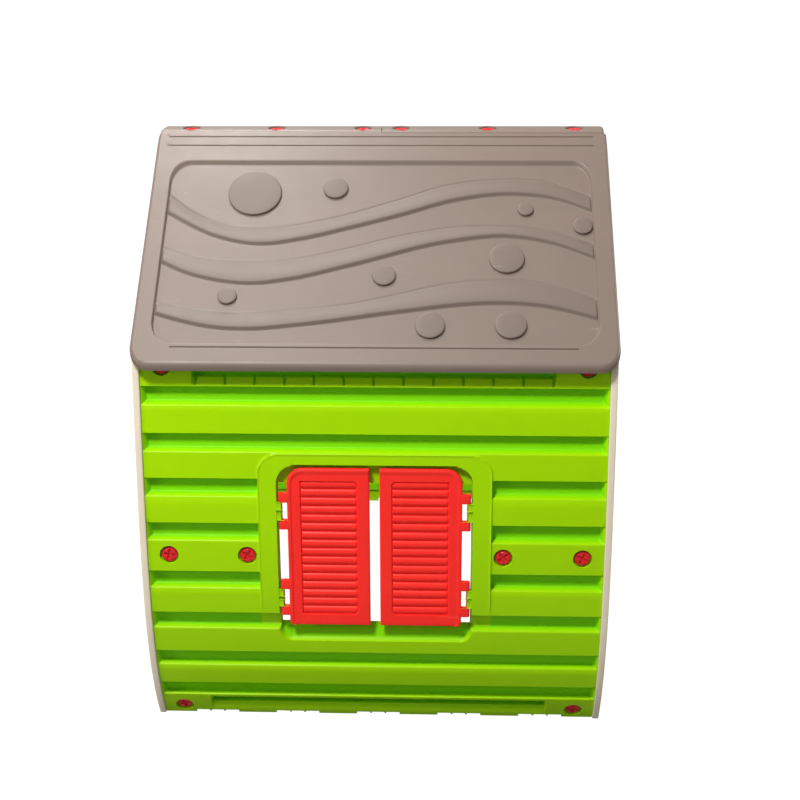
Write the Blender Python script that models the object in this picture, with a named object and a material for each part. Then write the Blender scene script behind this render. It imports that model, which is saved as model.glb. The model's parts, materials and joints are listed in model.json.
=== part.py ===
"""Plastic playhouse: two ribbed side walls, two gable walls, a roof of two panels, shutters and a door.

X runs along the ridge, Y across the house and Z up, with the origin on the ground under the middle.
The far side wall, its shutters and the far roof panel are the near ones turned half a turn about Z.
"""

import math

import bmesh
import bpy
import numpy as np
from mathutils import Matrix, Vector

# Driving dimensions, in metres.
GAP = 0.0003
GABLE_FACE_X = 0.4466
GABLE_RIM = 0.013
GABLE_FIELD = 0.003
ROOF_HALF_LENGTH = 0.450
RIDGE_Z = 1.098
RIDGE_HALF_LAND = 0.022
EAVE_Y, EAVE_Z = 0.4535, 0.7635
WALL_TOP = 0.772
WALL_SKIN = 0.003
ROOF_SKIN = 0.003
SIDE_CURVE = ((0.466, 0.0), (0.550, 0.19), (0.500, 0.42), (0.4335, 0.75))

# Side wall: slats and the grooves between them, and the window.
FACE_INSET = 0.005
GROOVE_TOPS = (0.712, 0.6245, 0.539, 0.452, 0.354, 0.266, 0.176, 0.093)
GROOVE_WIDTH, GROOVE_DEPTH, GROOVE_DRAFT = 0.034, 0.014, 0.004
PLATE_HALF, PLATE_LOW, PLATE_HIGH, PLATE_PROUD = 0.2225, 0.274, 0.5905, 0.0015
WINDOW_HALF, SILL_OUT, WINDOW_LOW, WINDOW_HIGH, POCKET_TOP = 0.1825, 0.205, 0.236, 0.528, 0.5665
POCKET_DEPTH, REVEAL_DEPTH = 0.0135, 0.022
SCREW_PLACES = ((0.393, 0.0235), (0.393, 0.388), (0.243, 0.388), (0.393, 0.7500))
FOOT_CUTS = (-0.328, -0.164, 0.0, 0.164, 0.328)
FOOT_CUT_HALF, FOOT_CUT_HIGH = 0.0435, 0.007

# Screws and the cups that they sit in.
CUP_R, CUP_DEPTH, CUP_WALL = 0.0182, 0.0085, 0.003
HEAD_R, HEAD_THICK, SHANK_R, SHANK_END = 0.0155, 0.005, 0.0035, 0.046
RIDGE_SCREWS = (0.0385, 0.2135, 0.3875)

# Shutters.
SHUTTER_IN, SHUTTER_OUT = 0.0095, 0.165
SHUTTER_LOW, SHUTTER_HIGH, SHUTTER_THICK = 0.243, 0.561, 0.014
SHUTTER_FRONT_LOW, SHUTTER_FRONT_HIGH = 0.5098, 0.4716
HINGE_X, HINGE_BEHIND = 0.176, 0.005
HINGE_HEIGHTS = (0.300, 0.4765)
LUG_HALF, KNUCKLE_LONG, HINGE_PLAY, BARREL_R, PIN_R = 0.0175, 0.0185, 0.0005, 0.0052, 0.0020

# Roof panel field.
FIELD_HALF, FIELD_NEAR, FIELD_FAR, FIELD_DEPTH, FIELD_DRAFT = 0.4155, 0.0815, 0.4215, 0.004, 0.006
LIP_THICK, LIP_DROP = 0.0031, 0.0155
TAB_END, SPLIT, PEAK_CLEAR = 0.0265, 0.0006, 0.0135

# Gable walls.
FLANGE_BACK, FLANGE_THICK, FLANGE_IN, TONGUE_IN = 0.0225, 0.004, 0.365, 0.215
TONGUE_LOW, TONGUE_HIGH = 0.362, 0.414
DOORWAY_HALF, DOORWAY_LOW, DOORWAY_HIGH, FRAME_WIDE = 0.190, 0.060, 0.730, 0.024
HATCH_HALF, HATCH_LOW, HATCH_HIGH = 0.170, 0.400, 0.700
DOOR_LOW, DOOR_HIGH, DOOR_THICK, DOOR_BACK_X = 0.066, 0.520, 0.011, 0.4345
DOOR_AXIS_Y, DOOR_HINGES = 0.178, (0.150, 0.430)

ROOF_SLOPE = (RIDGE_Z - EAVE_Z) / (EAVE_Y - RIDGE_HALF_LAND)
ROOF_ANGLE = math.atan(ROOF_SLOPE)
SKIN_DROP = ROOF_SKIN / math.cos(ROOF_ANGLE)
WALL_HALF = GABLE_FACE_X - GABLE_RIM - GAP
SHUTTER_LEAN = math.atan2(SHUTTER_FRONT_LOW - SHUTTER_FRONT_HIGH, SHUTTER_HIGH - SHUTTER_LOW)


def clear_scene():
    for obj in list(bpy.data.objects):
        bpy.data.objects.remove(obj, do_unlink=True)


def plastic(name, colour, roughness):
    """A moulded plastic: a Principled material with one colour."""
    material = bpy.data.materials.new(name)
    material.use_nodes = True
    shader = material.node_tree.nodes["Principled BSDF"]
    shader.inputs["Base Color"].default_value = (*colour, 1.0)
    shader.inputs["Roughness"].default_value = roughness
    shader.inputs["Metallic"].default_value = 0.0
    material.diffuse_color = (*colour, 1.0)
    return material


# Curves of the house.


def bezier_samples(count=200):
    """Heights and half-depths along the bulging side of a gable."""
    t = np.linspace(0.0, 1.0, count)
    weights = ((1 - t) ** 3, 3 * t * (1 - t) ** 2, 3 * t**2 * (1 - t), t**3)
    depth, height = (sum(w * p[k] for w, p in zip(weights, SIDE_CURVE)) for k in (0, 1))
    return height, depth


SIDE_HEIGHTS, SIDE_DEPTHS = bezier_samples()
TOP_LEAN = (SIDE_DEPTHS[-1] - SIDE_DEPTHS[-2]) / (SIDE_HEIGHTS[-1] - SIDE_HEIGHTS[-2])


def side_half_depth(z):
    """Half-depth of the house at height z: the curve, then a straight line above its end."""
    above = max(0.0, z - SIDE_HEIGHTS[-1])
    return float(np.interp(z, SIDE_HEIGHTS, SIDE_DEPTHS)) + above * TOP_LEAN


def roof_height(y):
    """Height of the roof's outer surface at a distance y from the ridge line."""
    return RIDGE_Z - max(0.0, abs(y) - RIDGE_HALF_LAND) * ROOF_SLOPE


def wall_frame(x, z):
    """A matrix whose origin is on the near wall's slat face at (x, z), with +Z along the outward normal."""
    step = 0.002
    lean = (side_half_depth(z + step) - side_half_depth(z - step)) / (2 * step)
    normal = Vector((0.0, -1.0, -lean)).normalized()
    along = Vector((1.0, 0.0, 0.0))
    up = normal.cross(along)
    turn = Matrix((along, up, normal)).transposed().to_4x4()
    return Matrix.Translation((x, -(side_half_depth(z) - FACE_INSET), z)) @ turn


# Mesh building.


def object_from(name, bm, material, place=None):
    """An object made from a bmesh, with its normals facing out."""
    bmesh.ops.recalc_face_normals(bm, faces=bm.faces)
    mesh = bpy.data.meshes.new(name)
    bm.to_mesh(mesh)
    bm.free()
    return object_of(name, mesh, material, place)


def object_of(name, mesh, material, place=None):
    obj = bpy.data.objects.new(name, mesh)
    if not mesh.materials:
        mesh.materials.append(material)
    bpy.context.scene.collection.objects.link(obj)
    if place is not None:
        obj.matrix_world = place
    return obj


def helper(name, bm, place=None):
    """A body that a Boolean adds or cuts: it is never part of the house."""
    obj = object_from(name, bm, None, place)
    obj.data.materials.clear()
    obj.hide_render = True
    obj.display_type = "WIRE"
    return obj


def settle(obj):
    """Replaces an object's mesh by what its modifiers make of it."""
    bpy.context.view_layer.update()
    graph = bpy.context.evaluated_depsgraph_get()
    mesh = bpy.data.meshes.new_from_object(obj.evaluated_get(graph))
    obj.modifiers.clear()
    old, obj.data = obj.data, mesh
    bpy.data.meshes.remove(old)
    mesh.name = obj.name


def combine(obj, added=(), cut=()):
    """Joins the added helpers to an object, cuts the others from it, and removes them all."""
    for operation, helpers in (("UNION", added), ("DIFFERENCE", cut)):
        for other in helpers:
            modifier = obj.modifiers.new(other.name, "BOOLEAN")
            modifier.operation = operation
            modifier.object = other
    settle(obj)
    for other in (*added, *cut):
        bpy.data.objects.remove(other, do_unlink=True)


def prism(outline, low, high, along="X"):
    """A bmesh with a flat outline drawn from low to high along one axis."""
    places = {
        "X": lambda u, v, w: (w, u, v),
        "Y": lambda u, v, w: (u, w, v),
        "Z": lambda u, v, w: (u, v, w),
    }[along]
    bm = bmesh.new()
    face = bm.faces.new([bm.verts.new(places(u, v, low)) for u, v in outline])
    drawn = bmesh.ops.extrude_face_region(bm, geom=[face])
    moved = [item for item in drawn["geom"] if isinstance(item, bmesh.types.BMVert)]
    shift = Vector(places(0.0, 0.0, high - low))
    bmesh.ops.translate(bm, verts=moved, vec=shift)
    return bm


def block(low, high):
    """A bmesh box between two corners."""
    bm = bmesh.new()
    bmesh.ops.create_cube(bm, size=1.0)
    size = Vector(high) - Vector(low)
    bmesh.ops.scale(bm, verts=bm.verts, vec=size)
    bmesh.ops.translate(bm, verts=bm.verts, vec=(Vector(low) + Vector(high)) / 2)
    return bm


def rod(radius, low, high, segments=14):
    """A bmesh cylinder about Z."""
    bm = bmesh.new()
    bmesh.ops.create_cone(
        bm, cap_ends=True, segments=segments, radius1=radius, radius2=radius, depth=high - low
    )
    bmesh.ops.translate(bm, verts=bm.verts, vec=(0.0, 0.0, (low + high) / 2))
    return bm


def barrel(reach_u, reach_v, low, high, segments=6):
    """A bmesh hinge barrel about Z, drawn out to one side as far as (reach_u, reach_v)."""
    toward = math.atan2(reach_v, reach_u)
    outline = []
    for step in range(segments + 1):
        angle = toward + math.pi / 2 + math.pi * step / segments
        outline.append((BARREL_R * math.cos(angle), BARREL_R * math.sin(angle)))
    (u0, v0), (u1, v1) = outline[-1], outline[0]
    outline += [(u0 + reach_u, v0 + reach_v), (u1 + reach_u, v1 + reach_v)]
    return prism(outline, low, high, "Z")


def rounded_outline(corners, steps=4):
    """Points of a convex outline given anticlockwise as (u, v, corner radius)."""
    points = []
    for k, (u, v, radius) in enumerate(corners):
        here = Vector((u, v))
        before = (Vector(corners[k - 1][:2]) - here).normalized()
        after = (Vector(corners[(k + 1) % len(corners)][:2]) - here).normalized()
        if radius == 0.0:
            points.append((u, v))
            continue
        half = before.angle(after) / 2
        centre = here + (before + after).normalized() * radius / math.sin(half)
        first = here + before * radius / math.tan(half) - centre
        sweep = math.pi - 2 * half
        for step in range(steps + 1):
            turn = Matrix.Rotation(sweep * step / steps, 2)
            points.append(tuple(centre + turn @ first))
    return points


def skin(rows, keep):
    """An open sheet through a grid of points, with the cells that keep() accepts."""
    bm = bmesh.new()
    verts = [[bm.verts.new(p) for p in row] for row in rows]
    for i in range(len(rows) - 1):
        for j in range(len(rows[0]) - 1):
            if keep(i, j):
                bm.faces.new((verts[i][j], verts[i + 1][j], verts[i + 1][j + 1], verts[i][j + 1]))
    loose = [v for v in bm.verts if not v.link_faces]
    bmesh.ops.delete(bm, geom=loose, context="VERTS")
    return bm


def shell(front, back, keep):
    """A closed solid between two grids of points, with the cells that keep() accepts."""
    bm = bmesh.new()
    sides = [[[bm.verts.new(p) for p in row] for row in rows] for rows in (front, back)]
    faces = []
    for i in range(len(front) - 1):
        for j in range(len(front[0]) - 1):
            if keep(i, j):
                for side in sides:
                    corners = (side[i][j], side[i + 1][j], side[i + 1][j + 1], side[i][j + 1])
                    faces.append(bm.faces.new(corners))
    twin = {a: b for fr, br in zip(*sides) for a, b in zip(fr, br)}
    rims = [edge for edge in bm.edges if len(edge.link_faces) == 1 and edge.verts[0] in twin]
    for edge in rims:
        a, b = edge.verts
        bm.faces.new((a, b, twin[b], twin[a]))
    loose = [v for v in bm.verts if not v.link_faces]
    bmesh.ops.delete(bm, geom=loose, context="VERTS")
    return bm


def turned(profile, segments=10):
    """A bmesh turned about Z from (radius, height) points that start and end on the axis."""
    bm = bmesh.new()
    verts = [bm.verts.new((radius, 0.0, height)) for radius, height in profile]
    edges = [bm.edges.new(pair) for pair in zip(verts, verts[1:])]
    bmesh.ops.spin(
        bm, geom=verts + edges, cent=(0, 0, 0), axis=(0, 0, 1), angle=2 * math.pi,
        steps=segments, use_duplicate=False,
    )
    bmesh.ops.remove_doubles(bm, verts=bm.verts, dist=1e-5)
    return bm


# Side wall.


def groove(z):
    """How far the wall's surface lies behind its slat faces at height z, without the window."""
    depth = 0.0
    for top in GROOVE_TOPS:
        foot = top - GROOVE_WIDTH
        ends = (foot, foot + GROOVE_DRAFT, top - GROOVE_DRAFT, top)
        depth += float(np.interp(z, ends, (0.0, GROOVE_DEPTH, GROOVE_DEPTH, 0.0)))
    return depth


def wall_depth(column, z):
    """Depth of the wall's surface on one of the grid's columns, from the gable to the window."""
    draft = 0.0025
    if column == "reveal" and SILL_OUT <= z <= POCKET_TOP:
        ends = (SILL_OUT, WINDOW_LOW, WINDOW_HIGH, POCKET_TOP - draft, POCKET_TOP)
        depths = (0.0, REVEAL_DEPTH, POCKET_DEPTH, POCKET_DEPTH, -PLATE_PROUD)
        return float(np.interp(z, ends, depths))
    if column in ("plate", "jamb", "reveal"):
        ends = (PLATE_LOW, PLATE_LOW + draft, PLATE_HIGH - draft, PLATE_HIGH)
        share = float(np.interp(z, ends, (0.0, 1.0, 1.0, 0.0)))
        return (1 - share) * groove(z) - share * PLATE_PROUD
    return groove(z)


def side_wall(material):
    draft = 0.0025
    heights = {0.0, WALL_TOP, SILL_OUT, WINDOW_LOW, WINDOW_HIGH, POCKET_TOP, POCKET_TOP - draft}
    heights |= {PLATE_LOW, PLATE_LOW + draft, PLATE_HIGH, PLATE_HIGH - draft}
    for top in GROOVE_TOPS:
        foot = top - GROOVE_WIDTH
        heights |= {foot, foot + GROOVE_DRAFT, top - GROOVE_DRAFT, top}
    heights = sorted({round(z, 5) for z in heights})
    half = [("edge", WALL_HALF), ("edge", PLATE_HALF + 0.003), ("plate", PLATE_HALF)]
    half += [("jamb", WINDOW_HALF + 0.001), ("reveal", WINDOW_HALF)]
    columns = [(kind, -x) for kind, x in half] + [(kind, x) for kind, x in reversed(half)]
    rows = [
        [(x, wall_depth(kind, z) + FACE_INSET - side_half_depth(z), z) for z in heights]
        for kind, x in columns
    ]
    middle = len(half) - 1

    def keep(i, j):
        return not (i == middle and WINDOW_LOW - 1e-6 < heights[j] < WINDOW_HIGH - 1e-6)

    sheet = skin(rows, keep)
    for face in sheet.faces:
        face.normal_update()
        if face.normal.y > 0:
            face.normal_flip()
    mesh = bpy.data.meshes.new("near_side_wall")
    sheet.to_mesh(mesh)
    sheet.free()
    wall = object_of("near_side_wall", mesh, material)
    thick = wall.modifiers.new("Thickness", "SOLIDIFY")
    thick.thickness = WALL_SKIN
    thick.offset = -1.0
    thick.use_even_offset = True
    settle(wall)
    cups, holes = [], []
    for x, z in [(side * x, z) for x, z in SCREW_PLACES for side in (-1, 1)]:
        place = wall_frame(x, z)
        cups.append(helper("cup", rod(CUP_R + CUP_WALL, -CUP_DEPTH - CUP_WALL, -GAP), place))
        holes.append(helper("recess", rod(CUP_R, -CUP_DEPTH, 0.02), place))
        holes.append(helper("hole", rod(SHANK_R + 0.0008, -0.05, 0.0, 8), place))
    for side in (-1, 1):
        for height in HINGE_HEIGHTS:
            place = hinge_frame(side)
            middle_z = (height - HINGE_HEIGHTS[0]) / math.cos(SHUTTER_LEAN)
            low, high = middle_z - LUG_HALF, middle_z + LUG_HALF
            cups.append(helper("lug", barrel(side * 0.0085, 0.0, low, high), place))
            bore = rod(PIN_R + 2 * GAP, low - 0.01, high + 0.01, 10)
            holes.append(helper("bore", bore, place))
    for x in FOOT_CUTS:
        low = (x - FOOT_CUT_HALF, -0.55, -0.01)
        holes.append(helper("foot", block(low, (x + FOOT_CUT_HALF, -0.40, FOOT_CUT_HIGH))))
    combine(wall, cups, holes)
    return wall


# Shutters. Each is built about its hinge axis, with Z along the axis and its height 0 at the lower hinge.


def hinge_frame(side):
    """Where the hinge axis of the near wall's shutter on this side is, at the lower hinge."""
    share = (HINGE_HEIGHTS[0] - SHUTTER_LOW) / (SHUTTER_HIGH - SHUTTER_LOW)
    front = SHUTTER_FRONT_LOW + share * (SHUTTER_FRONT_HIGH - SHUTTER_FRONT_LOW)
    place = (side * HINGE_X, -(front - HINGE_BEHIND), HINGE_HEIGHTS[0])
    return Matrix.Translation(place) @ Matrix.Rotation(-SHUTTER_LEAN, 4, "X")


def shutter(name, side, material):
    """One shutter: a plate with a louvred panel and a pair of knuckles at each hinge."""
    scale = 1 / math.cos(SHUTTER_LEAN)
    low = (SHUTTER_LOW - HINGE_HEIGHTS[0]) * scale
    high = (SHUTTER_HIGH - HINGE_HEIGHTS[0]) * scale
    outer, inner = HINGE_X - SHUTTER_OUT, HINGE_X - SHUTTER_IN
    front, back = -HINGE_BEHIND, SHUTTER_THICK - HINGE_BEHIND
    corners = [(outer, low, 0.008), (inner, low, 0.004), (inner, high, 0.002), (outer, high, 0.030)]
    plate = object_from(name, prism(rounded_outline(corners), front, back, "Y"), material)
    border, deep = 0.022, 0.003
    low_corner = (outer + border, front - 0.01, low + border)
    cuts = [helper("panel", block(low_corner, (inner - border, front + deep, high - border)))]
    chamfer = [(outer - 0.001, front - 0.001), (outer + 0.004, front - 0.001), (outer - 0.001, front + 0.004)]
    cuts.append(helper("chamfer", prism(chamfer, low - 0.01, high + 0.01, "Z")))
    added = []
    for height in HINGE_HEIGHTS:
        middle = (height - HINGE_HEIGHTS[0]) * scale
        for end in (-1, 1):
            start = middle + end * (LUG_HALF + HINGE_PLAY)
            span = sorted((start, start + end * KNUCKLE_LONG))
            added.append(helper("knuckle", barrel(outer + 0.006, 0.0, *span)))
    bore = helper("bore", rod(PIN_R + 2 * GAP, low, high, 10))
    combine(plate, added, [*cuts, bore])
    if side > 0:
        bm = bmesh.new()
        bm.from_mesh(plate.data)
        bmesh.ops.scale(bm, verts=bm.verts, vec=(-1, 1, 1))
        bmesh.ops.reverse_faces(bm, faces=bm.faces)
        bm.to_mesh(plate.data)
        bm.free()
    plate.matrix_world = hinge_frame(side)
    return plate


def hinge_pins(prefix, place, heights, low, high, material):
    """A plain pin through each hinge's knuckles and lug."""
    pins = []
    for word, middle in zip(("lower", "upper"), heights):
        bm = rod(PIN_R, low, high, 8)
        pin = object_from(f"{prefix}_{word}_pin", bm, material, place @ Matrix.Translation((0, 0, middle)))
        pins.append(pin)
    return pins


# Roof.


def roof_columns():
    """The roof grid's lines along X: front x, back x, and whether each is on a lip and in the field."""
    outer, inner, field = ROOF_HALF_LENGTH, GABLE_FACE_X + GAP, FIELD_HALF
    half = [(outer, outer, True, False), (outer - 0.001, inner, True, False)]
    half += [(inner - 0.0035, inner, False, False), (field, field, False, False)]
    half += [(field - FIELD_DRAFT, field - FIELD_DRAFT, False, True), (SPLIT, SPLIT, False, True)]
    return [(-x, -back, lip, deep) for x, back, lip, deep in half] + half[::-1]


def roof_stations():
    """The roof grid's lines from the tab down to the eave, in the same form but with y first."""
    tab, land, near, far, inner = TAB_END, RIDGE_HALF_LAND, FIELD_NEAR, FIELD_FAR, EAVE_Y - LIP_THICK
    plain = [-tab, -land, land, tab, tab + 0.0008, near]
    lines = [(y, y, False, False) for y in plain]
    lines += [(y, y, False, True) for y in (near + FIELD_DRAFT, far - FIELD_DRAFT)]
    lines += [(far, far, False, False), (inner - 0.0035, inner, False, False)]
    lines += [(EAVE_Y - 0.001, inner, True, False), (EAVE_Y, EAVE_Y, True, False)]
    return [(-y, -back, lip, deep) for y, back, lip, deep in lines]


def roof_panel(material):
    """The near panel: its tab lies on top of the other panel's at -X, and under it at +X."""
    columns, stations = roof_columns(), roof_stations()
    step = ROOF_SKIN + GAP

    def lowered(x, y):
        """How far the panel's surface drops here to run under the other panel's tab."""
        if x < 0 or y < -TAB_END - 1e-6:
            return 0.0
        return step if abs(y) <= RIDGE_HALF_LAND else step / math.cos(ROOF_ANGLE)

    front, back = [], []
    for x, back_x, side_lip, across in columns:
        front_row, back_row = [], []
        for y, back_y, eave_lip, down in stations:
            drop = lowered(x, y)
            depth = FIELD_DEPTH if across and down else 0.0
            front_row.append((x, y, roof_height(y) - drop - depth))
            thick = ROOF_SKIN if abs(y) <= RIDGE_HALF_LAND else SKIN_DROP
            if eave_lip or (side_lip and not drop):
                thick = LIP_DROP
            under_x = x if drop else back_x
            back_row.append((under_x, back_y, roof_height(back_y) - drop - depth - thick))
        front.append(front_row)
        back.append(back_row)
    middle = len(columns) // 2 - 1
    tab_rows = sum(y > -TAB_END - 1e-6 for y, *_ in stations) - 1

    def keep(i, j):
        outside = i >= len(columns) - 3 and j <= tab_rows - 1
        return not (j < tab_rows and (i == middle or outside))

    panel = object_from("near_roof_panel", shell(front, back, keep), material)
    added, cuts = [], []
    for x in [side * x for x in RIDGE_SCREWS for side in (-1, 1)]:
        place = Matrix.Translation((x, 0.0, RIDGE_Z))
        if x < 0:
            added.append(helper("cup", rod(CUP_R + CUP_WALL, -CUP_DEPTH - CUP_WALL, -GAP), place))
            cuts.append(helper("recess", rod(CUP_R, -CUP_DEPTH, 0.02), place))
            cuts.append(helper("hole", rod(SHANK_R + 0.0008, -0.05, 0.0, 8), place))
        else:
            seat = CUP_DEPTH + CUP_WALL + GAP
            added.append(helper("boss", rod(CUP_R + 2 * CUP_WALL, -0.034, GAP - step - ROOF_SKIN), place))
            cuts.append(helper("seat", rod(CUP_R + CUP_WALL + GAP, -seat, 0.02), place))
            cuts.append(helper("hole", rod(SHANK_R + GAP, -0.05, 0.0, 8), place))
    combine(panel, added, cuts)
    return panel


# Gable walls, built at +X.


def gable_outline(inset=0.0):
    """The gable's outline, drawn in from its edge by an inset."""
    heights = [inset, *np.arange(0.06, 0.75, 0.06), WALL_TOP]
    side = [(side_half_depth(z) - inset, float(z)) for z in heights]
    drop = SKIN_DROP + 0.001 + inset / math.cos(ROOF_ANGLE)
    shoulder = side_half_depth(WALL_TOP) - 0.001 - inset
    peak = RIDGE_Z - PEAK_CLEAR - inset
    peak_half = RIDGE_HALF_LAND + (RIDGE_Z - drop - peak) / ROOF_SLOPE
    side += [(shoulder, roof_height(shoulder) - drop), (peak_half, peak)]
    return side + [(-y, z) for y, z in reversed(side)]


def strip(low, high, x_in, x_out):
    """A flange that follows the inside of the side wall, on the -Y side."""
    heights = np.linspace(low, high, max(2, round((high - low) / 0.06) + 1))
    outer = [(FLANGE_BACK - side_half_depth(z), z) for z in heights]
    inner = [(y + FLANGE_THICK, z) for y, z in outer]
    return prism(outer + inner[::-1], x_in, x_out, "X")


def arch(half, low, high, radius):
    return rounded_outline([(-half, low, 0.01), (half, low, 0.01), (half, high, radius), (-half, high, radius)])


def gable(name, opening, radius, material):
    """A gable wall with a raised rim, a framed opening and a flange behind each side wall."""
    half, low, high = opening
    rim_in = GABLE_FACE_X - GABLE_RIM
    slab = object_from(name, prism(gable_outline(), rim_in, GABLE_FACE_X), material)
    field_out = GABLE_FACE_X - 0.006
    pocket = gable_outline(0.014)
    pockets = [helper("outside", prism(pocket, field_out, 0.47))]
    pockets.append(helper("inside", prism(pocket, 0.40, field_out - GABLE_FIELD)))
    combine(slab, cut=pockets)
    frame = arch(half + FRAME_WIDE, max(low - FRAME_WIDE, 0.016), high + FRAME_WIDE, radius + FRAME_WIDE)
    added = [helper("frame", prism(frame, rim_in + 0.0002, GABLE_FACE_X - 0.0002))]
    cuts = [helper("opening", prism(arch(half, low, high, radius), 0.38, 0.48))]
    turn = Matrix.Rotation(math.pi, 4, "Z")
    for side in (-1, 1):
        swap = Matrix.Identity(4)
        if side > 0:
            swap = Matrix.Scale(-1, 4, Vector((0, 1, 0)))
        for z_low, z_high, x_in, x_out in (
            (0.0, WALL_TOP - 0.004, FLANGE_IN, field_out - 0.001),
            (TONGUE_LOW, TONGUE_HIGH, TONGUE_IN, FLANGE_IN + 0.01),
        ):
            flange = strip(z_low, z_high, x_in, x_out)
            bmesh.ops.transform(flange, matrix=swap, verts=flange.verts)
            added.append(helper("flange", flange))
        for x, z in SCREW_PLACES:
            post, hole = rod(0.0085, -0.042, -0.0185, 10), rod(SHANK_R + GAP, -0.06, 0.0, 8)
            for bm, into in ((post, added), (hole, cuts)):
                bmesh.ops.transform(bm, matrix=swap @ wall_frame(x, z), verts=bm.verts)
                into.append(helper("post", bm))
    if name == "front_gable_wall":
        stop = block((rim_in - 0.0045, -half - 0.012, 0.09), (rim_in + 0.0010, -half + 0.010, 0.50))
        cut_back = block((rim_in - 0.00001, -half + 0.0001, 0.05), (0.48, -half + 0.02, 0.60))
        added.append(helper("stop", stop))
        cuts.append(helper("clear", cut_back))
        for height in DOOR_HINGES:
            low_z, high_z = height - LUG_HALF, height + LUG_HALF
            place = Matrix.Translation((DOOR_BACK_X + DOOR_THICK / 2, DOOR_AXIS_Y, 0.0))
            lug = barrel(0.0, half - DOOR_AXIS_Y + 0.002, low_z, high_z)
            cuts.append(helper("bore", rod(PIN_R + 2 * GAP, low_z - 0.01, high_z + 0.01, 10), place))
            added.append(helper("lug", lug, place))
    finish_gable(slab, added, cuts)
    if name == "back_gable_wall":
        slab.matrix_world = turn
    return slab


def finish_gable(slab, added, cuts):
    """Opens the gable first, then joins what stands in the opening, then drills it."""
    opening = [c for c in cuts if c.name.startswith("opening")]
    frame = [a for a in added if a.name.startswith("frame")]
    combine(slab, frame, opening)
    combine(slab, [a for a in added if a not in frame], [c for c in cuts if c not in opening])


def half_door(material):
    """The door leaf, built about its hinge axis with Z up from the ground."""
    start = 0.008
    width = DOOR_AXIS_Y + DOORWAY_HALF - 0.004
    half = DOOR_THICK / 2
    corners = [(-width, DOOR_LOW, 0.006), (-start, DOOR_LOW, 0.006)]
    corners += [(-start, DOOR_HIGH, 0.006), (-width, DOOR_HIGH, 0.040)]
    leaf = object_from("half_door", prism(rounded_outline(corners), -half, half), material)
    added = []
    for height in DOOR_HINGES:
        for end in (-1, 1):
            first = height + end * (LUG_HALF + HINGE_PLAY)
            span = sorted((first, first + end * KNUCKLE_LONG))
            added.append(helper("knuckle", barrel(0.0, -start - 0.004, *span)))
    slot = [(-width + 0.03, 0.435, 0.014), (-width + 0.12, 0.435, 0.014)]
    slot += [(-width + 0.12, 0.465, 0.014), (-width + 0.03, 0.465, 0.014)]
    cuts = [helper("grip", prism(rounded_outline(slot), -0.02, 0.02))]
    panel = [(-width + 0.035, DOOR_LOW + 0.035, 0.01), (-start - 0.035, DOOR_LOW + 0.035, 0.01)]
    panel += [(-start - 0.035, 0.405, 0.01), (-width + 0.035, 0.405, 0.01)]
    for low, high in ((half - 0.003, half + 0.01), (-half - 0.01, -half + 0.003)):
        cuts.append(helper("panel", prism(rounded_outline(panel), low, high)))
    cuts.append(helper("bore", rod(PIN_R + 2 * GAP, DOOR_LOW, DOOR_HIGH, 10)))
    combine(leaf, added, cuts)
    leaf.matrix_world = Matrix.Translation((DOOR_BACK_X + half, DOOR_AXIS_Y, 0.0))
    return leaf


# Fasteners.


def screw_mesh(name, length, material):
    """A large round-headed screw, its head under the mouth of its cup and its shank along -Z."""
    seat = -CUP_DEPTH + GAP
    top = seat + HEAD_THICK
    profile = [(0.0, top), (HEAD_R, top), (HEAD_R, seat)]
    profile += [(SHANK_R, seat), (SHANK_R, -length + 0.004), (0.0, -length)]
    maker = object_from(name, turned(profile), material)
    mesh = maker.data
    mesh.shade_smooth()
    mesh.set_sharp_from_angle(angle=math.radians(40))
    bpy.data.objects.remove(maker, do_unlink=True)
    return mesh


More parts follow.
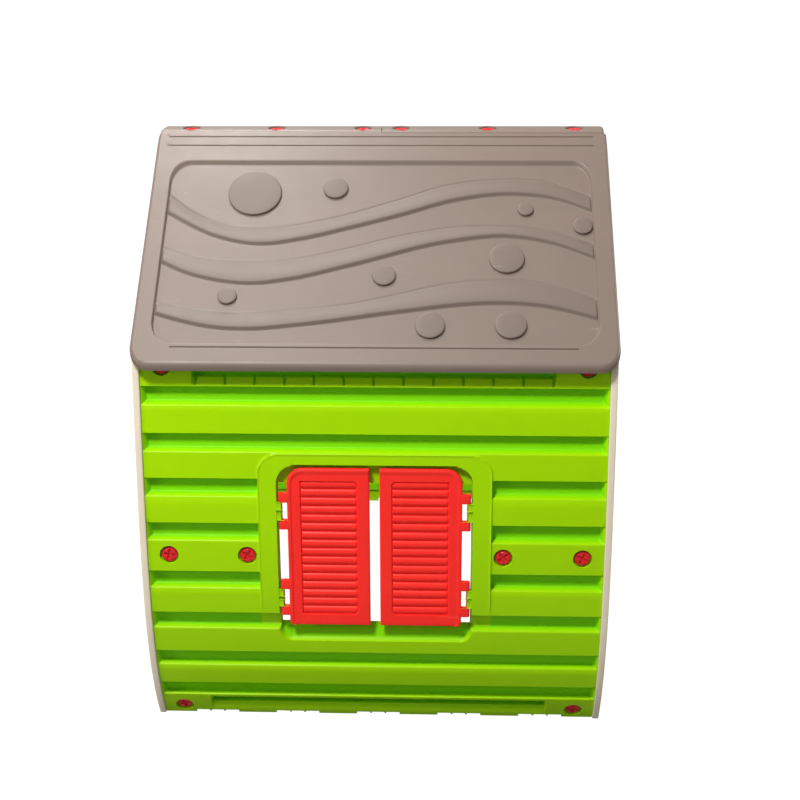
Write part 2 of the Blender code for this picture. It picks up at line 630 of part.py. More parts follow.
def main():
    clear_scene()
    green = plastic("wall_green", (0.36, 0.66, 0.003), 0.38)
    taupe = plastic("roof_taupe", (0.42, 0.34, 0.29), 0.50)
    beige = plastic("gable_beige", (0.71, 0.63, 0.50), 0.45)
    red = plastic("shutter_red", (0.85, 0.035, 0.025), 0.35)
    screw_red = plastic("screw_red", (0.55, 0.012, 0.022), 0.35)
    half_turn = Matrix.Rotation(math.pi, 4, "Z")

    near_wall = side_wall(green)
    object_of("far_side_wall", near_wall.data, green, half_turn)
    near_panel = roof_panel(taupe)
    object_of("far_roof_panel", near_panel.data, taupe, half_turn)

    scale = 1 / math.cos(SHUTTER_LEAN)
    heights = [(height - HINGE_HEIGHTS[0]) * scale for height in HINGE_HEIGHTS]
    reach = LUG_HALF + KNUCKLE_LONG + HINGE_PLAY - GAP
    for side, word in ((-1, "left"), (1, "right")):
        leaf = shutter(f"near_{word}_shutter", side, red)
        frame = hinge_frame(side)
        other = object_of(f"far_{word}_shutter", leaf.data, red)
        other.matrix_world = half_turn @ frame
        for wall, place in (("near", frame), ("far", half_turn @ frame)):
            hinge_pins(f"{wall}_{word}_shutter", place, heights, -reach, reach, red)

    gable("front_gable_wall", (DOORWAY_HALF, DOORWAY_LOW, DOORWAY_HIGH), 0.12, beige)
    gable("back_gable_wall", (HATCH_HALF, HATCH_LOW, HATCH_HIGH), 0.05, beige)
    half_door(red)
    door_place = Matrix.Translation((DOOR_BACK_X + DOOR_THICK / 2, DOOR_AXIS_Y, 0.0))
    hinge_pins("door", door_place, DOOR_HINGES, -reach, reach, red)

    wall_screw = screw_mesh("wall_screw", SHANK_END, screw_red)
    for wall, turn in (("near", Matrix.Identity(4)), ("far", half_turn)):
        for side, word in ((-1, "left"), (1, "right")):
            for spot, (x, z) in zip(("bottom", "middle", "jamb", "top"), SCREW_PLACES):
                place = turn @ wall_frame(side * x, z)
                object_of(f"{wall}_{spot}_{word}_screw", wall_screw, screw_red, place)
    ridge_screw = screw_mesh("ridge_screw", 0.030, screw_red)
    for number, x in enumerate(sorted(side * x for x in RIDGE_SCREWS for side in (-1, 1)), 1):
        object_of(f"ridge_screw_{number}", ridge_screw, screw_red, Matrix.Translation((x, 0, RIDGE_Z)))


main()
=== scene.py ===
"""The looks of a plastic playhouse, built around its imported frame.

X runs along the ridge, Y across the house and Z up, in metres, with the origin on the ground under the
middle. Each class is one sub-assembly: it holds its sizes and builds its own meshes. The far side wall,
its shutters and the far roof panel are the near ones turned half a turn about Z.
"""

import json
import logging
import math
from collections.abc import Callable, Iterable, Sequence
from dataclasses import dataclass
from enum import Enum

import bmesh
import bpy
import numpy as np
from mathutils import Matrix, Vector


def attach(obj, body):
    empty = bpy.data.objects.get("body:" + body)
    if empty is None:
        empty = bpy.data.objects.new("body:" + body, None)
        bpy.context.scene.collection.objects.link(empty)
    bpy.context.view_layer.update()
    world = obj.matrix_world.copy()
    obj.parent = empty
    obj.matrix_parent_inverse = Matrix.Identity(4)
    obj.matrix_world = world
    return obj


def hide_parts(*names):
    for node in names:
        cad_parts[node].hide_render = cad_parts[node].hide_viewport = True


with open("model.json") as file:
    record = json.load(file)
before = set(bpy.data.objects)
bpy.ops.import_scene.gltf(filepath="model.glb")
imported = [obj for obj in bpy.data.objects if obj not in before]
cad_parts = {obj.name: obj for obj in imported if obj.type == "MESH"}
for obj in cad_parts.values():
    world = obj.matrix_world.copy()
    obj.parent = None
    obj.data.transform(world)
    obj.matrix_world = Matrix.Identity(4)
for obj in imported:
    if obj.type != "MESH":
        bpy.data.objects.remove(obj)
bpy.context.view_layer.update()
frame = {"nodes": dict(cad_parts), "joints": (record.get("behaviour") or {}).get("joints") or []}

log = logging.getLogger("playhouse")

Faces = list[tuple[int, ...]]
Solid = tuple[np.ndarray, Faces]
Lines = np.ndarray
Line = Callable[[np.ndarray], np.ndarray]
Triple = tuple[float, float, float]
Profile = tuple[tuple[float, float], ...]

MILLIMETRE = 0.001
GAP = 0.0003
HALF_TURN = Matrix.Rotation(math.pi, 4, "Z")
MIRROR_X = Matrix.Scale(-1.0, 4, Vector((1.0, 0.0, 0.0)))
MIRROR_Y = Matrix.Scale(-1.0, 4, Vector((0.0, 1.0, 0.0)))
UPRIGHT = Matrix(((0, 0, 1, 0), (1, 0, 0, 0), (0, 1, 0, 0), (0, 0, 0, 1)))
HOUSE = "house"
WHITE = (1.0, 1.0, 1.0, 1.0)


class Side(Enum):
    """Which end of the ridge a piece is at, for someone who faces its wall."""

    LEFT = -1
    RIGHT = 1


class Wall(Enum):
    """Which long wall a piece belongs to."""

    NEAR = "near"
    FAR = "far"

    @property
    def turn(self) -> Matrix:
        """The turn that takes the near wall to this one."""
        return HALF_TURN if self is Wall.FAR else Matrix.Identity(4)


# Shader building.


class Signal:
    """A number that varies over a surface, with arithmetic that adds Math nodes."""

    def __init__(self, tree: bpy.types.NodeTree, socket: bpy.types.NodeSocket) -> None:
        """Wraps a socket of a tree."""
        self.tree, self.socket = tree, socket

    def combine(self, operation: str, *terms: "Signal | float", clamp: bool = False) -> "Signal":
        """Adds a Math node.

        Args:
            operation: what it does.
            terms: its inputs.
            clamp: whether its result is kept between 0 and 1.

        Returns:
            Its result.
        """
        node = self.tree.nodes.new("ShaderNodeMath")
        node.operation = operation
        node.use_clamp = clamp
        for socket, term in zip(node.inputs, terms):
            if isinstance(term, Signal):
                self.tree.links.new(term.socket, socket)
            else:
                socket.default_value = term
        return Signal(self.tree, node.outputs[0])

    def __add__(self, other: "Signal | float") -> "Signal":
        """The sum."""
        return self.combine("ADD", self, other)

    def __radd__(self, other: "Signal | float") -> "Signal":
        """The sum, with a number first."""
        return self.combine("ADD", other, self)

    def __sub__(self, other: "Signal | float") -> "Signal":
        """The difference."""
        return self.combine("SUBTRACT", self, other)

    def __rsub__(self, other: "Signal | float") -> "Signal":
        """The difference, with a number first."""
        return self.combine("SUBTRACT", other, self)

    def __mul__(self, other: "Signal | float") -> "Signal":
        """The product."""
        return self.combine("MULTIPLY", self, other)

    def __rmul__(self, other: "Signal | float") -> "Signal":
        """The product, with a number first."""
        return self.combine("MULTIPLY", other, self)

    def __truediv__(self, other: "Signal | float") -> "Signal":
        """The quotient."""
        return self.combine("DIVIDE", self, other)

    def __rtruediv__(self, other: "Signal | float") -> "Signal":
        """The quotient, with a number first."""
        return self.combine("DIVIDE", other, self)

    def ramp(self, low: float, high: float) -> "Signal":
        """0 below low and 1 above high, straight between them."""
        return self.combine("MULTIPLY", self - low, 1.0 / (high - low), clamp=True)


class Shader:
    """The node tree of a material or a world, filled by one method."""

    def __init__(self, owner: bpy.types.Material | bpy.types.World) -> None:
        """Turns on the owner's nodes."""
        owner.use_nodes = True
        self.owner, self.tree = owner, owner.node_tree

    def first(self, name: str) -> bpy.types.Node:
        """A node that the tree starts with."""
        return self.tree.nodes[name]

    def add(self, kind: str, settings: dict | None = None, inputs: dict | None = None) -> bpy.types.Node:
        """Adds a node.

        Args:
            kind: the node's type.
            settings: properties, set before the sockets.
            inputs: a number, a colour, a socket or a Signal for each socket, by name or number.

        Returns:
            The node.
        """
        node = self.tree.nodes.new(kind)
        for name, value in (settings or {}).items():
            setattr(node, name, value)
        self.feed(node, inputs or {})
        return node

    def feed(self, node: bpy.types.Node, inputs: dict) -> None:
        """Sets or links a node's sockets.

        Args:
            node: the node.
            inputs: what each socket takes, by name or number.
        """
        for name, value in inputs.items():
            if isinstance(value, Signal):
                value = value.socket
            if isinstance(value, bpy.types.NodeSocket):
                self.tree.links.new(value, node.inputs[name])
            else:
                node.inputs[name].default_value = value

    def read(self, kind: str, output: str, settings: dict | None = None) -> Signal:
        """The number that a new node without inputs gives."""
        return Signal(self.tree, self.add(kind, settings).outputs[output])

    def stretched(self, where: bpy.types.NodeSocket, scale: Triple) -> bpy.types.NodeSocket:
        """Coordinates scaled along each axis."""
        return self.add("ShaderNodeMapping", None, {"Vector": where, "Scale": scale}).outputs[0]

    def noise(self, where: bpy.types.NodeSocket, scale: float, detail: float = 2.0) -> Signal:
        """A noise with so many features to the metre."""
        node = self.add("ShaderNodeTexNoise", None, {"Vector": where, "Scale": scale, "Detail": detail})
        return Signal(self.tree, node.outputs["Fac"])

    def blend(self, share: Signal, low: object, high: object) -> bpy.types.NodeSocket:
        """A colour between two, by a share."""
        node = self.add("ShaderNodeMix", {"data_type": "RGBA"}, {0: share, 6: low, 7: high})
        return node.outputs[2]


@dataclass(frozen=True)
class MouldedPlastic:
    """A pigmented moulded plastic: flow-marked colour, fine grain, faint scuffs and softly waving gloss.

    The sizes of its marks are counts to the metre.
    """

    name: str
    colour: Triple
    shade: Triple
    roughness: float = 0.36
    specular: float = 0.30
    textured: Triple | None = None
    flow: float = 5.0
    flow_stretch: Triple = (0.35, 1.0, 1.0)
    clouds: float = 30.0
    specks: float = 1400.0
    speck_strength: float = 0.10
    scratches: float = 1.6
    scratch_stretch: Triple = (9.0, 30.0, 140.0)
    patches: float = 11.0
    scuff_strength: float = 0.10
    peel: float = 75.0
    pits: float = 620.0
    grain: float = 0.10
    relief: float = 0.0012

    def material(self) -> bpy.types.Material:
        """Builds the material."""
        shader = Shader(bpy.data.materials.new(f"{self.name}_look"))
        where = shader.add("ShaderNodeTexCoord").outputs["Object"]
        flow = shader.noise(shader.stretched(where, self.flow_stretch), self.flow, 3.0)
        cloud = shader.noise(where, self.clouds)
        pits = shader.noise(where, self.pits)
        scratch = shader.noise(shader.stretched(where, self.scratch_stretch), self.scratches, 4.0)
        scratched = scratch.ramp(0.66, 0.74) * shader.noise(where, self.patches).ramp(0.50, 0.66)
        scuff = scratched * self.scuff_strength
        tone = (flow * 0.7 + cloud * 0.3).ramp(0.36, 0.64)
        colour = shader.blend(tone, (*self.colour, 1.0), (*self.shade, 1.0))
        roughness = self.roughness + (flow - 0.5) * 0.14 + (cloud - 0.5) * 0.10 + scuff * 0.5
        height = shader.noise(where, self.peel) * 0.35 + pits * 0.10 - scratched * 0.05
        # The attribute read here blends in a second colour: on the roof the darker grain of its bands and discs, on
        # the wall painted shade, a darker greener tone in its grooves, slots and sill.
        if self.textured is not None:
            grain_and_shade_share = shader.read("ShaderNodeAttribute", "Fac", {"attribute_name": "textured"})
            colour = shader.blend(grain_and_shade_share, colour, (*self.textured, 1.0))
            roughness = roughness + grain_and_shade_share * 0.10
            height = height + grain_and_shade_share * pits * 0.25
        pale = tuple(min(1.0, 0.5 * c + 0.42) for c in self.colour)
        colour = shader.blend(scuff, colour, (*pale, 1.0))
        speck = (shader.noise(where, self.specks, 1.0) - 0.5) * self.speck_strength + 1.0
        tinted = shader.add("ShaderNodeVectorMath", {"operation": "SCALE"}, {0: colour, "Scale": speck})
        bumps = {"Strength": self.grain, "Distance": self.relief, "Height": height}
        bump = shader.add("ShaderNodeBump", None, bumps)
        looks = {
            "Base Color": tinted.outputs[0],
            "Roughness": roughness,
            "Normal": bump.outputs[0],
            "Specular IOR Level": self.specular,
            "Metallic": 0.0,
        }
        shader.feed(shader.first("Principled BSDF"), looks)
        shader.owner.diffuse_color = (*self.colour, 1.0)
        return shader.owner


class Finish(Enum):
    """The plastics of the house."""

    # The wall's third colour is painted shade: the darker, greener tone that its grooves, slots and sill take by
    # their depth.
    GREEN = MouldedPlastic(
        "wall_green", (0.355, 0.675, 0.0), (0.325, 0.645, 0.0), 0.36, 0.12, (0.19, 0.62, 0.0)
    )
    TAUPE = MouldedPlastic(
        "roof_taupe", (0.172, 0.130, 0.104), (0.158, 0.119, 0.095), 0.40, 0.26, (0.138, 0.103, 0.082)
    )
    BEIGE = MouldedPlastic("gable_beige", (0.80, 0.70, 0.54), (0.75, 0.65, 0.49))
    RED = MouldedPlastic("shutter_red", (1.0, 0.032, 0.024), (0.96, 0.026, 0.020), 0.34, 0.15)
    SCREW = MouldedPlastic("screw_red", (0.72, 0.018, 0.024), (0.66, 0.013, 0.018), 0.28, 0.35)
    PIN = MouldedPlastic("pin_red", (0.60, 0.020, 0.016), (0.52, 0.014, 0.012), 0.4)

    def material(self) -> bpy.types.Material:
        """This finish's material, built once."""
        return bpy.data.materials.get(f"{self.value.name}_look") or self.value.material()


# Mesh building.


class Form:
    """Points and faces of one piece while it is being built."""

    def __init__(self) -> None:
        """Starts empty."""
        self.points: list[np.ndarray] = []
        self.faces: Faces = []
        self.textured: list[np.ndarray] = []
        self.count = 0

    def add(self, solid: Solid, place: Matrix | None = None, textured: np.ndarray | float = 0.0) -> "Form":
        """Adds a closed body.

        Args:
            solid: its points and faces.
            place: where it goes.
            textured: how much of its finish's second colour each of its points takes, from 0 to 1: grain on the roof,
                painted shade on the wall.

        Returns:
            This form.
        """
        points, faces = np.asarray(solid[0], float).reshape(-1, 3), solid[1]
        if place is not None:
            matrix = np.array(place)
            points = points @ matrix[:3, :3].T + matrix[:3, 3]
        self.faces += [tuple(v + self.count for v in face) for face in faces]
        self.points.append(points)
        self.textured.append(np.broadcast_to(textured, len(points)))
        self.count += len(points)
        return self

    def mesh(self, name: str) -> bpy.types.Mesh:
        """A mesh with every face turned out and no loose points."""
        mesh = bpy.data.meshes.new(name)
        mesh.from_pydata(np.concatenate(self.points).tolist(), [], self.faces)
        attribute = mesh.attributes.new("textured", "FLOAT", "POINT")
        attribute.data.foreach_set("value", np.concatenate(self.textured).astype(np.float32))
        bm = bmesh.new()
        bm.from_mesh(mesh)
        bmesh.ops.delete(bm, geom=[v for v in bm.verts if not v.link_faces], context="VERTS")
        bmesh.ops.recalc_face_normals(bm, faces=bm.faces)
        bm.to_mesh(mesh)
        bm.free()
        return mesh

    def build(self, name: str, finish: Finish, sharp: float = 38.0) -> bpy.types.Object:
        """An object of this form."""
        return dressed(name, self.mesh(name), finish, sharp)


def dressed(name: str, mesh: bpy.types.Mesh, finish: Finish, sharp: float = 38.0) -> bpy.types.Object:
    """An object that shows a mesh in a finish, shaded smooth but for edges sharper than so many degrees."""
    mesh.shade_smooth()
    mesh.set_sharp_from_angle(angle=math.radians(sharp))
    mesh.materials.clear()
    mesh.materials.append(finish.material())
    obj = bpy.data.objects.new(name, mesh)
    bpy.context.scene.collection.objects.link(obj)
    return obj


def place_piece(
    obj: bpy.types.Object, body: str, node: str, world: Matrix | None = None
) -> None:
    """Puts a piece in the world, on its body and in the place of its CAD node.

    Args:
        obj: the piece.
        body: the body that it rides on.
        node: the CAD node that it replaces.
        world: where it goes, if not where it was built.
    """
    if world is not None:
        obj.matrix_world = world
    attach(obj, body)
    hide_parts(node)
    log.info("%s: %d faces on %s", obj.name, len(obj.data.polygons), body)


def drill(obj: bpy.types.Object, cutters: Form) -> None:
    """Cuts a form out of an object's mesh."""
    tool = bpy.data.objects.new("drill", cutters.mesh("drill"))
    bpy.context.scene.collection.objects.link(tool)
    modifier = obj.modifiers.new("drill", "BOOLEAN")
    modifier.operation = "DIFFERENCE"
    modifier.solver = "EXACT"
    modifier.object = tool
    bpy.context.view_layer.update()
    graph = bpy.context.evaluated_depsgraph_get()
    mesh = bpy.data.meshes.new_from_object(obj.evaluated_get(graph))
    obj.modifiers.clear()
    obj.data = mesh
    bpy.data.objects.remove(tool, do_unlink=True)


def closed_grid(front: np.ndarray, back: np.ndarray, keep: np.ndarray | None = None) -> Solid:
    """A closed body between two grids of points.

    Args:
        front, back: rows x columns x 3 points.
        keep: which cells the body has; all of them without it.

    Returns:
        Its points and faces.
    """
    rows, columns = front.shape[:2]
    if keep is None:
        keep = np.ones((rows - 1, columns - 1), bool)
    total = rows * columns
    number = np.arange(total).reshape(rows, columns)
    corner = (number[:-1, :-1], number[1:, :-1], number[1:, 1:], number[:-1, 1:])
    cells = np.stack([c[keep] for c in corner], 1)
    sheets = [cells, cells[:, ::-1] + total]
    around = np.pad(keep, 1)
    for (down, over), (a, b) in (((0, -1), (0, 1)), ((1, 0), (1, 2)), ((0, 1), (2, 3)), ((-1, 0), (3, 0))):
        beside = around[1 + down : rows + down, 1 + over : columns + over]
        rim = keep & ~beside
        first, last = corner[a][rim], corner[b][rim]
        sheets.append(np.stack([last, first, first + total, last + total], 1))
    points = np.concatenate([front.reshape(-1, 3), back.reshape(-1, 3)])
    return points, [tuple(face) for face in np.concatenate(sheets).tolist()]


def ring_faces(rings: int, size: int, closed: bool = False) -> Faces:
    """The faces between rings of points.

    Args:
        rings: how many rings there are.
        size: how many points a ring has.
        closed: whether the last ring also joins the first.

    Returns:
        The faces.
    """
    faces: Faces = []
    for ring in range(rings if closed else rings - 1):
        this, following = ring * size, (ring + 1) % rings * size
        for k in range(size):
            n = (k + 1) % size
            faces.append((this + k, this + n, following + n, following + k))
    return faces


def end_faces(rings: int, size: int) -> Faces:
    """The faces that close the first and the last ring."""
    return [tuple(range(size))[::-1], tuple(range((rings - 1) * size, rings * size))]


def swept(profile: np.ndarray, spots: np.ndarray, across: np.ndarray, over: np.ndarray, closed: bool) -> Solid:
    """A body drawn along a path.

    Args:
        profile: (u, v) points of its closed section.
        spots: the path's points.
        across, over: the section's u and v axes at each spot.
        closed: whether the path is a loop.

    Returns:
        Its points and faces.
    """
    rings, size = len(spots), len(profile)
    points = (
        spots[:, None] + profile[None, :, :1] * across[:, None] + profile[None, :, 1:] * over[:, None]
    ).reshape(-1, 3)
    faces = ring_faces(rings, size, closed)
    return points, faces if closed else faces + end_faces(rings, size)


def mitred(path: np.ndarray, closed: bool) -> np.ndarray:
    """The normals, left of a flat path, that keep an offset of it at an even distance."""
    if closed:
        before, after = path - np.roll(path, 1, 0), np.roll(path, -1, 0) - path
    else:
        steps = np.diff(path, axis=0)
        before, after = np.vstack([steps[:1], steps]), np.vstack([steps, steps[-1:]])
    left = [np.stack([-s[:, 1], s[:, 0]], 1) / np.linalg.norm(s, axis=1)[:, None] for s in (before, after)]
    joined = left[0] + left[1]
    return joined / (1.0 + (left[0] * left[1]).sum(1))[:, None]


def rounded(corners: Sequence[Triple], steps: int = 8) -> np.ndarray:
    """A convex outline with rounded corners.

    Args:
        corners: (u, v, corner radius), anticlockwise.
        steps: how many stretches a rounded corner has.

    Returns:
        Its (u, v) points.
    """
    points = []
    for k, (u, v, radius) in enumerate(corners):
        here = Vector((u, v))
        if radius == 0.0:
            points.append((u, v))
            continue
        before = (Vector(corners[k - 1][:2]) - here).normalized()
        after = (Vector(corners[(k + 1) % len(corners)][:2]) - here).normalized()
        half = before.angle(after) / 2
        centre = here + (before + after).normalized() * radius / math.sin(half)
        first = here + before * radius / math.tan(half) - centre
        for step in range(steps + 1):
            turn = Matrix.Rotation((math.pi - 2 * half) * step / steps, 2)
            points.append(tuple(centre + turn @ first))
    return np.array(points)


def rounded_box(left: float, low: float, right: float, high: float, radius: float, steps: int = 8) -> np.ndarray:
    """An upright rectangle's outline with four equal corners."""
    corners = ((left, low), (right, low), (right, high), (left, high))
    return rounded([(u, v, radius) for u, v in corners], steps)


def slab(outline: np.ndarray, low: float, high: float, bevel: float = 0.0) -> Solid:
    """A flat outline drawn along Z.

    Args:
        outline: its (x, y) points, anticlockwise.
        low, high: its two faces.
        bevel: how far its edges are rounded.

    Returns:
        Its points and faces.
    """
    inward = mitred(outline, True)
    angles = np.linspace(0.0, math.pi / 2, 4) if bevel else np.zeros(1)
    steps = [(bevel * (1 - math.sin(a)), low + bevel * (1 - math.cos(a))) for a in angles]
    steps += [(inset, low + high - z) for inset, z in reversed(steps)]
    rings = [np.column_stack([outline + inward * inset, np.full(len(outline), z)]) for inset, z in steps]
    size = len(outline)
    return np.concatenate(rings), end_faces(len(rings), size) + ring_faces(len(rings), size)


def turned(profile: Sequence[tuple[float, float]], segments: int = 40) -> Solid:
    """A body turned about Z from (radius, height) points, the first and last on the axis."""
    angles = np.linspace(0.0, 2 * math.pi, segments, endpoint=False)
    circle = np.column_stack([np.cos(angles), np.sin(angles), np.zeros(segments)])
    rings = [circle * radius + (0.0, 0.0, height) for radius, height in profile[1:-1]]
    points = np.concatenate([*rings, [(0.0, 0.0, profile[0][1]), (0.0, 0.0, profile[-1][1])]])
    first, last = len(points) - 2, len(points) - 1
    faces: Faces = []
    for k in range(segments):
        n = (k + 1) % segments
        for ring in range(len(rings) - 1):
            base = ring * segments
            faces.append((base + k, base + n, base + segments + n, base + segments + k))
        end = (len(rings) - 1) * segments
        faces += [(first, n, k), (last, end + k, end + n)]
    return points, faces


def barrel(reach: float, low: float, high: float, radius: float, bevel: float = 0.0008) -> Solid:
    """A hinge barrel about Z that is drawn out along +X as far as reach."""
    angles = np.linspace(math.pi / 2, 3 * math.pi / 2, 17)
    outline = [(radius * math.cos(a), radius * math.sin(a)) for a in angles]
    outline += [(reach, -radius), (reach, radius)]
    return slab(np.array(outline), low, high, bevel)


def plug(radius: float) -> Solid:
    """A cylinder that cuts a round hole through the skin at height 0."""
    return turned([(0, -0.05), (radius, -0.05), (radius, 0.02), (0, 0.02)], 48)


def grid_lines(
    low: float, high: float, pitch: float, edges: Iterable[float] = (), fixed: Iterable[float] = (),
    dense: Iterable[tuple[float, float, float]] = (), reach: float = 0.0014,
) -> Lines:
    """Positions of a grid's lines.

    Args:
        low, high, pitch: the plain grid.
        edges: where a bend needs lines on both its sides.
        fixed: lines that have to be there exactly.
        dense: (start, end, pitch) of closer stretches.
        reach: how far the lines around an edge go.

    Returns:
        The sorted positions.
    """
    kept = sorted({low, high, *(v for v in fixed if low < v < high)})
    wished = [e + o * reach for e in edges for o in (-1.0, 1.0, -0.35, 0.35)]
    for start, end, step in dense:
        wished += list(np.arange(start, end, step))
    wished += list(np.arange(low, high, pitch))
    for value in wished:
        if low < value < high and min(abs(value - k) for k in kept) > 0.35 * reach:
            kept.append(value)
    return np.array(sorted(kept))


def mirrored(values: Iterable[float]) -> list[float]:
    """Values on both sides of the middle, the negative ones first."""
    values = list(values)
    return [side * value for side in (-1, 1) for value in values]


def traced(profile: Profile, at: np.ndarray) -> np.ndarray:
    """A profile of straight stretches between (place, value) points, read at some places."""
    places, values = zip(*profile)
    return np.interp(at, places, values)


def smoothstep(value: np.ndarray) -> np.ndarray:
    """0 below 0, 1 above 1 and a smooth rise between them."""
    t = np.clip(value, 0.0, 1.0)
    return t * t * (3.0 - 2.0 * t)


def softened(profile: Callable[[np.ndarray], np.ndarray], at: np.ndarray, reach: float = 0.0012) -> np.ndarray:
    """A profile with its corners rounded: its mean over a short stretch."""
    return sum(profile(at + o * reach) for o in (-1.0, -0.5, 0.0, 0.5, 1.0)) / 5.0


def inside_top_rounded(
    x: np.ndarray, z: np.ndarray, half: float, low: float, high: float, radius: float
) -> np.ndarray:
    """How deep points lie inside an upright rectangle whose two top corners are rounded."""
    plain = np.minimum(np.minimum(half - np.abs(x), high - z), z - low)
    over_x, over_z = np.abs(x) - (half - radius), z - (high - radius)
    corner = (over_x > 0) & (over_z > 0)
    return np.where(corner, np.minimum(radius - np.hypot(over_x, over_z), z - low), plain)


# The curves that the whole house shares.


@dataclass(frozen=True)
class House:
    """The shared shape: bulging sides under a straight roof."""

    curve: tuple[tuple[float, float], ...] = ((0.466, 0.0), (0.550, 0.19), (0.500, 0.42), (0.4335, 0.75))
    ridge_z: float = 1.098
    land: float = 0.022
    eave_y: float = 0.4535
    eave_z: float = 0.7635
    face_inset: float = 0.005
    wall_top: float = 0.772

    @property
    def slope(self) -> float:
        """The roof's fall for each metre out."""
        return (self.ridge_z - self.eave_z) / (self.eave_y - self.land)

    @property
    def tilt(self) -> float:
        """The roof's angle to the ground."""
        return math.atan(self.slope)

    def half_depth(self, z: np.ndarray | float) -> np.ndarray:
        """Half the house's depth at a height: the curve, then a straight line above its end."""
        t = np.linspace(0.0, 1.0, 200)
        weights = ((1 - t) ** 3, 3 * t * (1 - t) ** 2, 3 * t**2 * (1 - t), t**3)
        depth, height = (sum(w * p[k] for w, p in zip(weights, self.curve)) for k in (0, 1))
        lean = (depth[-1] - depth[-2]) / (height[-1] - height[-2])
        return np.interp(z, height, depth) + np.maximum(0.0, np.asarray(z) - height[-1]) * lean

    def roof_height(self, y: np.ndarray | float) -> np.ndarray:
        """The roof's outer surface: a flat land along the ridge that bends softly into the slopes."""
        out = np.abs(y) - self.land
        bend = 0.006
        fall = np.where(out > bend, out, np.where(out < -bend, 0.0, (out + bend) ** 2 / (4 * bend)))
        return self.ridge_z - fall * self.slope

    def wall_frame(self, x: float, z: float) -> Matrix:
        """A place on the near wall's slat faces at (x, z), with +Z along the outward normal."""
        step = 0.002
        lean = float(self.half_depth(z + step) - self.half_depth(z - step)) / (2 * step)
        normal = Vector((0.0, -1.0, -lean)).normalized()
        along = Vector((1.0, 0.0, 0.0))
        turn = Matrix((along, normal.cross(along), normal)).transposed().to_4x4()
        return Matrix.Translation((x, self.face_inset - float(self.half_depth(z)), z)) @ turn


SHAPE = House()


@dataclass(frozen=True)
class Hinge:
    """A shutter's hinge: an axis, two lugs on the wall and four knuckles on the leaf."""

    joint: str = "near_left_shutter_hinge"
    heights: tuple[float, float] = (0.300, 0.4765)
    lug_half: float = 0.0175
    knuckle: float = 0.0185
    play: float = 0.0005
    radius: float = 0.0052

    def place(self, side: Side) -> Matrix:
        """The near wall's hinge frame on one side: Z up the axis, its origin at the lower hinge."""
        joint = next(j for j in frame["joints"] if j["name"] == self.joint)
        x, y, z = joint["pos_m"]
        up = Vector(joint["axis"])
        up *= math.copysign(1.0, up.z)
        along = Vector((1.0, 0.0, 0.0))
        turn = Matrix((along, up.cross(along), up)).transposed().to_4x4()
        return Matrix.Translation((side.value * abs(x), y, z)) @ turn

    @property
    def stretch(self) -> float:
        """Metres along the leaning axis for each metre of height."""
        return 1.0 / (self.place(Side.LEFT).to_3x3() @ Vector((0.0, 0.0, 1.0))).z

    def middles(self) -> list[float]:
        """The heights of the two hinges along the axis."""
        return [(height - self.heights[0]) * self.stretch for height in self.heights]

    def knuckles(self, middles: Iterable[float]) -> list[tuple[float, float]]:
        """Where the leaf's knuckles start and end, one on either side of each lug."""
        spans = []
        for middle in middles:
            for end in (-1, 1):
                first = middle + end * (self.lug_half + self.play)
                spans.append(tuple(sorted((first, first + end * self.knuckle))))
        return spans


HINGE = Hinge()


@dataclass(frozen=True)
class ScrewCup:
    """A round recess that a screw head sits in."""

    radius: float = 0.0182
    depth: float = 0.0085
    wall: float = 0.003
    rim: float = -0.00015

    def liner(self) -> Solid:
        """The cup itself, its rim just under the face around it."""
        outer, bottom = self.radius + self.wall, -self.depth - self.wall
        inside = [(0, -self.depth), (self.radius - 0.0012, -self.depth)]
        inside += [(self.radius - 0.0003, -self.depth + 0.0009), (self.radius, -0.0012)]
        lip = [(self.radius + 0.0004, -0.0004), (self.radius + 0.0012, self.rim), (outer, self.rim - 0.0002)]
        return turned([*inside, *lip, (outer, bottom), (0, bottom)], 48)


